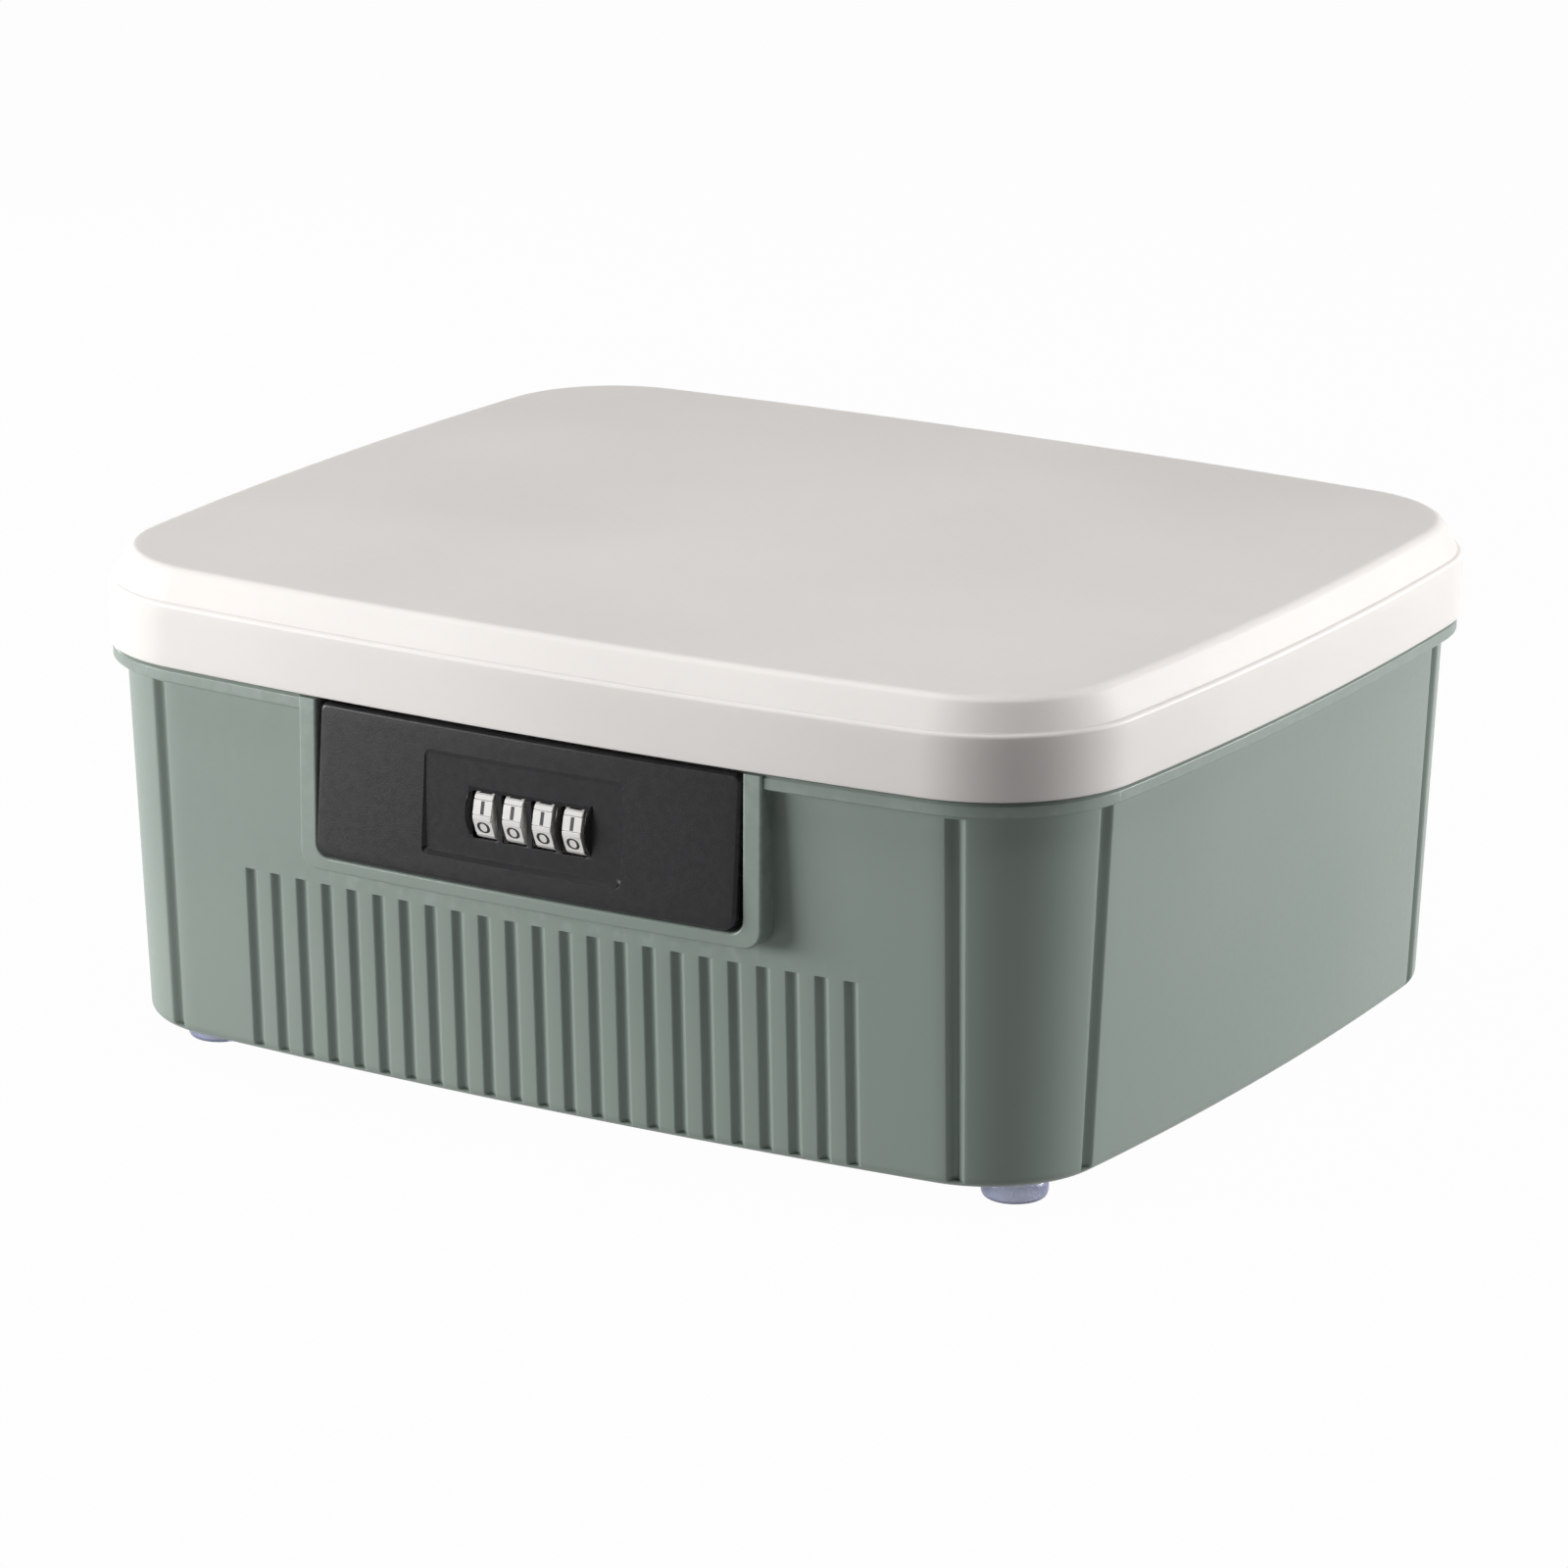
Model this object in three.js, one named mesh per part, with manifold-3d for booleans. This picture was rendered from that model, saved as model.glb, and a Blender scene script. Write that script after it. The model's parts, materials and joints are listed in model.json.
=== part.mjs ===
// Lockable medicine storage box: a drafted green tub, an off-white lid hinged at the rear,
// and a black lock flap with four dials that hangs from the lid in a pocket of the tub.
// Millimetres, +Z up, the front faces -Y. The origin is the bottom centre of the whole box.

import * as THREE from 'three';
import { mergeVertices } from 'three/addons/utils/BufferGeometryUtils.js';
import Module from 'manifold-3d';

const wasm = await Module();
wasm.setup();

// Overall size, from the lid's skirt, which is the widest part
const WIDTH = 300;
const DEPTH = 254;
const FRONT_BULGE = 7.1;
const SIDE_BULGE = 6.4;
const CORNER_RADIUS = 40.3;
const FOOT_HEIGHT = 8;
const TUB_HEIGHT = 100;
const LID_HEIGHT = 24.6;
const STEP_HEIGHT = 16.7;
const STEP_ROUND = 2.4;
const SHOULDER_INSET = 3.9;
const LID_ROUND = 4;
const SKIRT_DRAFT = 0.15;
const SKIRT_EDGE_ROUND = 0.5;
const WALL = 2.4;

// Heights above the surface that the box stands on
const TUB_BASE = FOOT_HEIGHT;
const SKIRT_EDGE = FOOT_HEIGHT + TUB_HEIGHT;

// Tub wall: how far it stands in from the skirt outline, and its draft
const WALL_TOP_INSET = 4.35;
const WALL_BASE_INSET = 9.1;
const DRAFT = (WALL_BASE_INSET - WALL_TOP_INSET) / TUB_HEIGHT;
const BASE_ROUND = 3;
const FLOOR_ROUND = 4;
const LIP_INSET = 3;
const LIP_HEIGHT = 10;
const LIP_ROUND = 1;
const LIP_FOOT = SKIRT_EDGE - 6;
const FLANGE_TOP = SKIRT_EDGE - 0.5;
const FLANGE_BASE = SKIRT_EDGE - 4.1;
const FLANGE_INSET = 0.9;
const FLANGE_ROUND = 0.8;
const FLANGE_FILLET = 0.5;

// Round grooves with sharp edges, moulded in the tub wall
const RIB_GROOVE = { half: 2.5, depth: 1.4 };
const PILLAR_GROOVE = { half: 3.3, depth: 1.6 };
const GROOVE_FACETS = 5;
const RIB_COUNT = 23;
const RIB_PITCH = 8.045;
const RIB_TOP = SKIRT_EDGE - 49.5;
const GROOVE_BOTTOM = TUB_BASE + 2.2;
const PILLAR_GROOVE_TOP = SKIRT_EDGE - 5.6;

// Lock pocket in the tub, and the raised frame round it
const POCKET_HALF = 62.2;
const POCKET_FLOOR = SKIRT_EDGE - 41.2;
const POCKET_BACK = -104;
const POCKET_ROUND = 3.5;
const POCKET_WALL_FRONT = -122;
const FRAME_HALF = 67.4;
const FRAME_BASE = SKIRT_EDGE - 44.8;
const FRAME_TOP = SKIRT_EDGE - 0.6;
const FRAME_INSET = 0.1;
const FRAME_BACK = -117;
const FRAME_ROUND = 5;
const SQUARE_CORNER = 0.5;

// Lock flap
const FLAP_HALF = 61.3;
const FLAP_TOP = SKIRT_EDGE - 2.2;
const FLAP_BASE = SKIRT_EDGE - 40.4;
const FLAP_TOP_INSET = 1;
const FLAP_LEAN = 3 / (FLAP_TOP - FLAP_BASE);
const FLAP_WALL = 2.2;
const FLAP_ROUND = { low: 4, high: 1.3 };
const FLAP_INNER_ROUND = 2.4;
const FLAP_BACK = -113;
const FLAP_HEEL = { y: -117, height: 2.8 };
const FLAP_PIVOT = { y: -119.6, z: SKIRT_EDGE - 7 };
const RECESS_HALF = 28.8;
const RECESS_TOP = SKIRT_EDGE - 8.5;
const RECESS_BASE = SKIRT_EDGE - 34;
const RECESS_LEAST_DEPTH = 0.1;
const RECESS_LEAN = 1 / (RECESS_TOP - RECESS_BASE);
const RECESS_ROUND = 1.2;

// In front of the whole box, where the tools that cut its front start
const FRONT_CLEAR = -132;

// Dials and the latch behind them
const DIAL_COUNT = 4;
const DIAL_PITCH = 8.7;
const DIAL_WIDTH = 5.4;
const DIAL_RADIUS = 8.5;
const DIAL_SIDES = 10;
const DIAL_HALF_STEP = Math.PI / DIAL_SIDES;
const DIAL_BAR_HALF = 0.7;
const DIAL_BAR_FACE = DIAL_RADIUS / Math.cos(DIAL_HALF_STEP) - DIAL_BAR_HALF * Math.tan(DIAL_HALF_STEP);
const DIAL_REACH = Math.hypot(DIAL_BAR_FACE, DIAL_BAR_HALF);
const DIAL_TILT = THREE.MathUtils.degToRad(13);
const DIAL_AXIS = { x: 2.2, y: -119.97, z: SKIRT_EDGE - 21.9 };
const WINDOW_HALF_WIDTH = 3.6;
const WINDOW_HALF_HEIGHT = 6.6;
const BAY = { half: 18.2, halfHeight: 8.8, front: -125.7, back: -122, scoopRadius: 9.15 };
const CHEEK = { x: 18.9, thickness: 2, top: SKIRT_EDGE - 13.5, base: SKIRT_EDGE - 31 };
const AXLE_HALF = 23.5;
const SLEEVE_NECK_RADIUS = 3.3;
const SLEEVE_RADIUS = 5;
const GATE_RADIUS = 5.35;
const GATE_THICKNESS = 0.9;
const FIN_THICKNESS = 0.6;
const FIN_GAP = 0.25;
const FIN_HALF_HEIGHT = 1.2;
const AXLE_RADIUS = 2;
const RUNNING_GAP = 0.3;
const LATCH_FRONT = -110.7;
const LATCH_THICKNESS = 1;
const BACK_PLATE_FRONT = -109.2;
const BACK_PLATE_THICKNESS = 1.7;
const PRONG_X = 30;
const PRONG_BASE = SKIRT_EDGE - 35.5;
const PRONG_HEIGHT = 4.5;
const POST_X = 42.5;
const POST_ROWS = [SKIRT_EDGE - 13, SKIRT_EDGE - 34];
const POST_RADIUS = 2.7;
const POST_FRONT = -130;
const SCREW_BITE = { front: -119, radius: 1.2, bore: 1.5 };
const LUG_X = 54;
const LUG_THICKNESS = 4;
const LUG_GAP = LUG_THICKNESS / 2 + 0.6;
const LUG_BACK = -107.4;
const LUG_NECK = -111.6;
const LUG_ROOT = SKIRT_EDGE + 22.9;
const BOSS_RADIUS = 3;
const BOSS_NEAR = 46.8;
const PRONG_SLOT = { left: 1.2, right: 2.6, bottom: PRONG_BASE - 0.4, top: PRONG_BASE + 7.1 };
const KEEPER_SCREW_X = 9;
const KEEPER_SCREW_Z = SKIRT_EDGE - 32;
const KEEPER_THICKNESS = 1.2;
const KEEPER_BOSS_BACK = -96;
const SCREW_HOLE = 1.7;
const TAB = { x: 34, thickness: 1, front: -115.4 };
const SPRING_WALL = { x: 41.5, thickness: 1.9 };
const LATCH_SPRING = {
  x: 35.6, y: -113.2, z: SKIRT_EDGE - 25, length: 5.4, radius: 1.9, wire: 0.3, turns: 5,
};

// Lid hinge
const HINGE_AXIS = { y: 128.4, z: SKIRT_EDGE - 2.6 };
const HINGE_X = 78;
const KNUCKLE_RADIUS = 3.5;
const LID_KNUCKLE_HALF = 8;
const TUB_KNUCKLE_WIDTH = 8;
const PIN_RADIUS = 1.5;

// Feet and fasteners
const FOOT_X = 118.5;
const FOOT_Y = 89.5;
const FOOT_RADIUS = 8.4;
const FOOT_SPIGOT_RADIUS = 5;
const FOOT_SEAT = { radius: 7, height: 2.1, socketDepth: 2.8 };

// The hinge stands further out behind than the flap does in front, so all is moved to centre the box
const CENTRE_SHIFT = (DEPTH / 2 + 2 - (HINGE_AXIS.y + KNUCKLE_RADIUS)) / 2;

const PLASTIC = { roughness: 0.5, metalness: 0 };
const STEEL = { roughness: 0.35, metalness: 1 };
const FINISHES = {
  green: { color: 0x87958e, ...PLASTIC },
  white: { color: 0xdedad6, ...PLASTIC },
  black: { color: 0x3a3a3c, ...PLASTIC },
  dial: { color: 0xe8e8e6, roughness: 0.3, metalness: 0.2 },
  rubber: { color: 0xa9b0c4, roughness: 0.4, metalness: 0 },
  steel: { color: 0xb4b6b8, ...STEEL },
  brass: { color: 0xb59a5a, ...STEEL },
};

// Solids and booleans

function toSolid(geometry) {
  const bare = geometry.clone();
  bare.deleteAttribute('normal');
  bare.deleteAttribute('uv');
  const merged = mergeVertices(bare, 1e-4);
  return new wasm.Manifold(new wasm.Mesh({
    numProp: 3,
    vertProperties: new Float32Array(merged.attributes.position.array),
    triVerts: new Uint32Array(merged.index.array),
  }));
}

function toGeometry(solid) {
  const mesh = solid.getMesh();
  const geometry = new THREE.BufferGeometry();
  geometry.setAttribute('position', new THREE.BufferAttribute(mesh.vertProperties, mesh.numProp));
  geometry.setIndex(new THREE.BufferAttribute(mesh.triVerts, 1));
  return geometry;
}

function join(...solids) {
  return solids.reduce((whole, next) => whole.add(next));
}

function cut(body, ...tools) {
  return tools.reduce((whole, tool) => whole.subtract(tool), body);
}

// The skirt's outline: four wide arcs joined by round corners, offset inwards by an inset

const frontHalf = WIDTH / 2 - SIDE_BULGE;
const sideHalf = DEPTH / 2 - FRONT_BULGE;
const frontArcRadius = (frontHalf ** 2 + FRONT_BULGE ** 2) / (2 * FRONT_BULGE);
const sideArcRadius = (sideHalf ** 2 + SIDE_BULGE ** 2) / (2 * SIDE_BULGE);
const frontArcY = frontArcRadius - DEPTH / 2;
const sideArcX = WIDTH / 2 - sideArcRadius;
const cornerCentre = meetCircles(
  { x: 0, y: frontArcY, r: frontArcRadius - CORNER_RADIUS },
  { x: sideArcX, y: 0, r: sideArcRadius - CORNER_RADIUS },
);
const frontEndAngle = Math.atan2(cornerCentre.y - frontArcY, cornerCentre.x);
const sideEndAngle = Math.atan2(cornerCentre.y, cornerCentre.x - sideArcX);

// The crossing of two circles that lies at the front right
function meetCircles(a, b) {
  const apart = Math.hypot(b.x - a.x, b.y - a.y);
  const along = (a.r ** 2 - b.r ** 2 + apart ** 2) / (2 * apart);
  const across = Math.sqrt(a.r ** 2 - along ** 2);
  const ux = (b.x - a.x) / apart;
  const uy = (b.y - a.y) / apart;
  const one = { x: a.x + along * ux - across * uy, y: a.y + along * uy + across * ux };
  const other = { x: a.x + along * ux + across * uy, y: a.y + along * uy - across * ux };
  return one.x > 0 && one.y < 0 ? one : other;
}

function arcPoints(centre, radius, from, to, steps) {
  return Array.from({ length: steps }, (_, i) => {
    const angle = from + ((to - from) * i) / steps;
    return [centre.x + radius * Math.cos(angle), centre.y + radius * Math.sin(angle)];
  });
}

function outline(inset) {
  const front = { x: 0, y: frontArcY };
  const side = { x: sideArcX, y: 0 };
  const quarter = [
    ...arcPoints(front, frontArcRadius - inset, -Math.PI / 2, frontEndAngle, 4),
    ...arcPoints(cornerCentre, CORNER_RADIUS - inset, frontEndAngle, sideEndAngle, 7),
    ...arcPoints(side, sideArcRadius - inset, sideEndAngle, 0, 3),
    [WIDTH / 2 - inset, 0],
  ];
  const rearRight = quarter.slice(0, -1).reverse().map(([x, y]) => [x, -y]);
  const rearLeft = quarter.slice(1).map(([x, y]) => [-x, -y]);
  const frontLeft = quarter.slice(1, -1).reverse().map(([x, y]) => [-x, y]);
  return [...quarter, ...rearRight, ...rearLeft, ...frontLeft];
}

// A loft through outlines. Each station is [inset, height], and both ends are closed flat.
function loft(stations) {
  const rings = stations.map(([inset, z]) => outline(inset).map(([x, y]) => [x, y, z]));
  const count = rings[0].length;
  const last = rings.length - 1;
  const vertices = rings.flat(2);
  const faces = [];
  for (let ring = 0; ring < last; ring += 1) {
    for (let i = 0; i < count; i += 1) {
      const a = ring * count + i;
      const b = ring * count + ((i + 1) % count);
      faces.push(a, b, b + count, a, b + count, a + count);
    }
  }
  const startHub = rings.length * count;
  const endHub = startHub + 1;
  vertices.push(0, 0, stations[0][1], 0, 0, stations[last][1]);
  for (let i = 0; i < count; i += 1) {
    const next = (i + 1) % count;
    faces.push(startHub, next, i);
    faces.push(endHub, last * count + i, last * count + next);
  }
  return toSolid(rawGeometry(vertices, faces));
}

// Stations round a bend in the wall's section, from 0 degrees, outwards, to 90, upwards
function bend(inset, height, radius, from, to, steps) {
  return Array.from({ length: steps + 1 }, (_, i) => {
    const angle = THREE.MathUtils.degToRad(from + ((to - from) * i) / steps);
    return [inset - radius * Math.cos(angle), height + radius * Math.sin(angle)];
  });
}

function rawGeometry(vertices, faces) {
  const geometry = new THREE.BufferGeometry();
  geometry.setAttribute('position', new THREE.Float32BufferAttribute(vertices, 3));
  geometry.setIndex(faces);
  return geometry;
}

// Simple solids, each in the box's own frame

function shapeOf(points) {
  return new THREE.Shape(points.map(([x, y]) => new THREE.Vector2(x, y)));
}

// A plan outline raised from one height to another
function raised(shape, bottom, top) {
  const geometry = new THREE.ExtrudeGeometry(shape, { depth: top - bottom, bevelEnabled: false });
  return toSolid(geometry.translate(0, 0, bottom));
}

// An outline in X and Z, extruded from a front Y to a back Y
function pushed(shape, front, back) {
  const geometry = new THREE.ExtrudeGeometry(shape, { depth: back - front, bevelEnabled: false });
  return toSolid(geometry.rotateX(Math.PI / 2).translate(0, back, 0));
}

// An outline in Y and Z, extruded along X about a middle
function sideways(shape, middle, width) {
  const geometry = new THREE.ExtrudeGeometry(shape, { depth: width, bevelEnabled: false });
  geometry.translate(0, 0, -width / 2).rotateY(Math.PI / 2).rotateX(Math.PI / 2);
  return toSolid(geometry.translate(middle, 0, 0));
}

function block(x0, x1, y0, y1, z0, z1) {
  const geometry = new THREE.BoxGeometry(x1 - x0, y1 - y0, z1 - z0);
  return toSolid(geometry.translate((x0 + x1) / 2, (y0 + y1) / 2, (z0 + z1) / 2));
}

// A rod along X
function rodX(x0, x1, y, z, radius, sides = 16) {
  const geometry = new THREE.CylinderGeometry(radius, radius, x1 - x0, sides).rotateZ(Math.PI / 2);
  return toSolid(geometry.translate((x0 + x1) / 2, y, z));
}

// A rod along Y
function rodY(y0, y1, x, z, radius, sides = 12) {
  const geometry = new THREE.CylinderGeometry(radius, radius, y1 - y0, sides);
  return toSolid(geometry.translate(x, (y0 + y1) / 2, z));
}

// A rod along Z
function upright(z0, z1, x, y, radius, sides = 20) {
  const geometry = new THREE.CylinderGeometry(radius, radius, z1 - z0, sides).rotateX(Math.PI / 2);
  return toSolid(geometry.translate(x, y, (z0 + z1) / 2));
}

// A rectangle with its own radius at the top and bottom corners
function roundedRect(half, bottom, top, bottomRadius, topRadius) {
  const shape = new THREE.Shape();
  shape.moveTo(-half + bottomRadius, bottom);
  shape.absarc(half - bottomRadius, bottom + bottomRadius, bottomRadius, -Math.PI / 2, 0);
  shape.absarc(half - topRadius, top - topRadius, topRadius, 0, Math.PI / 2);
  shape.absarc(-half + topRadius, top - topRadius, topRadius, Math.PI / 2, Math.PI);
  shape.absarc(-half + bottomRadius, bottom + bottomRadius, bottomRadius, Math.PI, 1.5 * Math.PI);
  return thinned(shape);
}

// The same shape with round corners in a few steps
function thinned(shape, divisions = 4) {
  const points = shape.getPoints(divisions);
  const kept = points.filter((p, i) => i === 0 || p.distanceTo(points[i - 1]) > 1e-3);
  if (kept[0].distanceTo(kept[kept.length - 1]) < 1e-3) kept.pop();
  return new THREE.Shape(kept);
}

function frontY(x, inset) {
  return frontArcY - Math.sqrt((frontArcRadius - inset) ** 2 - x ** 2);
}

// A slab whose front follows the box's front arc and leans outwards towards its foot
function frontSlab({ half, inset, back, bottom, top, lean = 0, leanFrom = top }) {
  const steps = 8;
  const arc = Array.from({ length: steps + 1 }, (_, i) => {
    const x = half - (2 * half * i) / steps;
    return [x, frontY(x, inset)];
  });
  const low = [];
  const high = [];
  for (const [x, y] of [...arc.reverse(), [half, back], [-half, back]]) {
    const leans = y === back ? 0 : lean;
    low.push([x, y - leans * (leanFrom - bottom), bottom]);
    high.push([x, y - leans * (leanFrom - top), top]);
  }
  return prism(low, high);
}

// A solid between two rings with the same number of points
function prism(low, high) {
  const count = low.length;
  const flat = low.map(([x, y]) => new THREE.Vector2(x, y));
  const caps = THREE.ShapeUtils.triangulateShape(flat, []);
  const faces = [];
  for (const [a, b, c] of caps) {
    faces.push(a, c, b);
    faces.push(a + count, b + count, c + count);
  }
  for (let i = 0; i < count; i += 1) {
    const next = (i + 1) % count;
    faces.push(i, next, next + count, i, next + count, i + count);
  }
  return toSolid(rawGeometry([...low, ...high].flat(), faces));
}

// Tub

function wallInset(z) {
  return WALL_TOP_INSET + DRAFT * (SKIRT_EDGE - z);
}

function tubShell() {
  const lipTop = SKIRT_EDGE + LIP_HEIGHT;
  const underFlange = FLANGE_BASE - FLANGE_FILLET;
  const floor = TUB_BASE + WALL;
  const innerBase = wallInset(TUB_BASE) + WALL;
  return loft([
    ...bend(wallInset(TUB_BASE + BASE_ROUND) + BASE_ROUND, TUB_BASE + BASE_ROUND, BASE_ROUND, -90, 0, 4),
    [wallInset(underFlange), underFlange],
    [wallInset(underFlange) - FLANGE_FILLET, FLANGE_BASE],
    [FLANGE_INSET, FLANGE_BASE],
    [FLANGE_INSET, FLANGE_TOP - FLANGE_ROUND],
    [FLANGE_INSET + FLANGE_ROUND, FLANGE_TOP],
    [LIP_INSET, FLANGE_TOP],
    ...bend(LIP_INSET + LIP_ROUND, lipTop - LIP_ROUND, LIP_ROUND, 0, 180, 4),
    [wallInset(LIP_FOOT) + WALL, LIP_FOOT],
    ...bend(innerBase + FLOOR_ROUND, floor + FLOOR_ROUND, FLOOR_ROUND, 0, -90, 2),
  ]);
}

// A groove down the wall, at a place on the skirt outline with its outward direction
function wallGroove(place, outward, section, bottom, top) {
  const ring = (z) => section.map(([across, depth]) => {
    const inwards = wallInset(z) + depth;
    const x = place[0] - outward[1] * across - outward[0] * inwards;
    const y = place[1] + outward[0] * across - outward[1] * inwards;
    return [x, y, z];
  });
  return prism(ring(bottom), ring(top));
}

// The round section of a groove, which ends a little outside the wall
function grooveSection({ half, depth }) {
  const clear = 0.5;
  const radius = (half ** 2 + depth ** 2) / (2 * depth);
  const end = Math.acos((radius - depth - clear) / radius);
  return Array.from({ length: GROOVE_FACETS + 1 }, (_, i) => {
    const angle = end - (2 * end * i) / GROOVE_FACETS;
    return [radius * Math.sin(angle), depth - radius + radius * Math.cos(angle)];
  });
}

function ribGrooves() {
  const section = grooveSection(RIB_GROOVE);
  return Array.from({ length: RIB_COUNT }, (_, i) => {
    const x = (i - (RIB_COUNT - 1) / 2) * RIB_PITCH;
    const outward = [x / frontArcRadius, -Math.sqrt(1 - (x / frontArcRadius) ** 2)];
    return wallGroove([x, frontY(x, 0)], outward, section, GROOVE_BOTTOM, RIB_TOP);
  });
}

// Where the wide arcs meet the round corners, two grooves set each corner off as a pillar
function pillarGrooves() {
  const grooves = [];
  const section = grooveSection(PILLAR_GROOVE);
  const ends = [
    { centre: [0, frontArcY], radius: frontArcRadius, angle: frontEndAngle },
    { centre: [sideArcX, 0], radius: sideArcRadius, angle: sideEndAngle },
  ];
  for (const { centre, radius, angle } of ends) {
    for (const sx of [-1, 1]) {
      for (const sy of [-1, 1]) {
        const outward = [sx * Math.cos(angle), -sy * Math.sin(angle)];
        const place = [
          sx * (centre[0] + radius * Math.cos(angle)),
          -sy * (centre[1] + radius * Math.sin(angle)),
        ];
        grooves.push(wallGroove(place, outward, section, GROOVE_BOTTOM, PILLAR_GROOVE_TOP));
      }
    }
  }
  return grooves;
}

function lockPocketWalls() {
  const outer = roundedRect(POCKET_HALF + WALL, POCKET_FLOOR - WALL, SKIRT_EDGE + LIP_HEIGHT,
    FRAME_ROUND, SQUARE_CORNER);
  return pushed(outer, POCKET_WALL_FRONT, POCKET_BACK + WALL);
}

function raisedFrame() {
  const outer = roundedRect(FRAME_HALF, FRAME_BASE, FRAME_TOP, FRAME_ROUND, SQUARE_CORNER);
  const face = frontSlab({
    half: FRAME_HALF + 1, inset: FRAME_INSET, back: FRAME_BACK, bottom: FRAME_BASE - 1, top: SKIRT_EDGE,
  });
  return pushed(outer, FRONT_CLEAR, FRAME_BACK).intersect(face);
}

function lockPocketHollow() {
  const top = SKIRT_EDGE + LIP_HEIGHT + 2;
  const inner = roundedRect(POCKET_HALF, POCKET_FLOOR, top, POCKET_ROUND, SQUARE_CORNER);
  return pushed(inner, FRONT_CLEAR, POCKET_BACK);
}

function footPlaces() {
  return [[-1, -1], [1, -1], [1, 1], [-1, 1]].map(([sx, sy]) => [sx * FOOT_X, sy * FOOT_Y]);
}

// Each knuckle pair stands behind the flange, and an arm carries it
function tubKnuckles() {
  const { y, z } = HINGE_AXIS;
  const root = { y: 121.5, depth: 1.3, top: SKIRT_EDGE - 4, base: SKIRT_EDGE - 13 };
  const arm = new THREE.Shape();
  arm.moveTo(root.y, root.top);
  arm.lineTo(y - 2.4, SKIRT_EDGE - 0.9);
  arm.lineTo(y + 2.6, z - 2.3);
  arm.lineTo(root.y + 0.5, root.base);
  arm.lineTo(root.y - root.depth, root.base);
  const parts = [];
  for (const side of [-1, 1]) {
    for (const end of [-1, 1]) {
      const middle = side * HINGE_X + end * (LID_KNUCKLE_HALF + RUNNING_GAP + TUB_KNUCKLE_WIDTH / 2);
      const half = TUB_KNUCKLE_WIDTH / 2;
      parts.push(rodX(middle - half, middle + half, y, z, KNUCKLE_RADIUS));
      parts.push(sideways(arm, middle, TUB_KNUCKLE_WIDTH));
    }
  }
  return parts;
}

function hingeBores() {
  const half = LID_KNUCKLE_HALF + RUNNING_GAP + TUB_KNUCKLE_WIDTH + 1;
  return [-1, 1].map((side) => rodX(
    side * HINGE_X - half, side * HINGE_X + half, HINGE_AXIS.y, HINGE_AXIS.z, PIN_RADIUS + RUNNING_GAP,
  ));
}

function tub() {
  let body = join(tubShell(), lockPocketWalls(), raisedFrame(), ...tubKnuckles());
  for (const side of [-1, 1]) {
    const x = side * KEEPER_SCREW_X;
    body = body.add(rodY(POCKET_BACK + 1, KEEPER_BOSS_BACK, x, KEEPER_SCREW_Z, 2 * SCREW_HOLE));
  }
  body = cut(body, lockPocketHollow(), ...ribGrooves(), ...pillarGrooves(), ...hingeBores());
  for (const side of [-1, 1]) {
    const x = side * KEEPER_SCREW_X;
    body = cut(body, rodY(POCKET_BACK - 8, KEEPER_BOSS_BACK - 1.5, x, KEEPER_SCREW_Z, SCREW_HOLE));
  }
  for (const [x, y] of footPlaces()) {
    const { radius, height, socketDepth } = FOOT_SEAT;
    const base = TUB_BASE - height;
    const socket = FOOT_SPIGOT_RADIUS + RUNNING_GAP;
    body = body.add(upright(base, TUB_BASE + 0.1, x, y, radius));
    body = cut(body, upright(base - 1, base + socketDepth, x, y, socket));
  }
  return body;
}

// Lid

function lidShell() {
  const z = (height) => SKIRT_EDGE + height;
  const ceiling = LID_HEIGHT - WALL;
  const innerEdge = 0.3;
  const stepFillet = 0.5;
  return loft([
    [SHOULDER_INSET + LID_ROUND + 1, z(ceiling)],
    [SHOULDER_INSET + WALL + 1, z(ceiling - 1.2)],
    [SHOULDER_INSET + WALL, z(STEP_HEIGHT + stepFillet)],
    [WALL, z(STEP_HEIGHT - 1.5)],
    [WALL, z(innerEdge)],
    [WALL - innerEdge, z(0)],
    ...bend(SKIRT_EDGE_ROUND, z(SKIRT_EDGE_ROUND), SKIRT_EDGE_ROUND, -90, 0, 2),
    ...bend(STEP_ROUND + SKIRT_DRAFT, z(STEP_HEIGHT - STEP_ROUND), STEP_ROUND, 0, 90, 4),
    [SHOULDER_INSET - stepFillet, z(STEP_HEIGHT + stepFillet)],
    ...bend(SHOULDER_INSET + LID_ROUND, z(LID_HEIGHT - LID_ROUND), LID_ROUND, 0, 90, 5),
  ]);
}

// A swan-necked lug inside the lid, which reaches down behind the flap to its pivot
function flapLug(middle) {
  const { y, z } = FLAP_PIVOT;
  const round = BOSS_RADIUS;
  const half = LUG_THICKNESS / 2 + 1;
  const shape = new THREE.Shape();
  shape.absarc(y, z, round, Math.PI / 6, 1.5 * Math.PI, false);
  shape.lineTo(LUG_BACK - 2.6, z - round);
  shape.lineTo(LUG_BACK, z - 0.5);
  shape.lineTo(LUG_BACK, LUG_ROOT);
  shape.lineTo(LUG_NECK, LUG_ROOT);
  shape.lineTo(LUG_NECK, SKIRT_EDGE + 0.5);
  shape.lineTo(LUG_NECK - 0.8, z + round + 0.4);
  const bore = rodX(middle - half, middle + half, y, z, PIN_RADIUS + RUNNING_GAP);
  return cut(sideways(thinned(shape, 6), middle, LUG_THICKNESS), bore);
}

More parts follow.
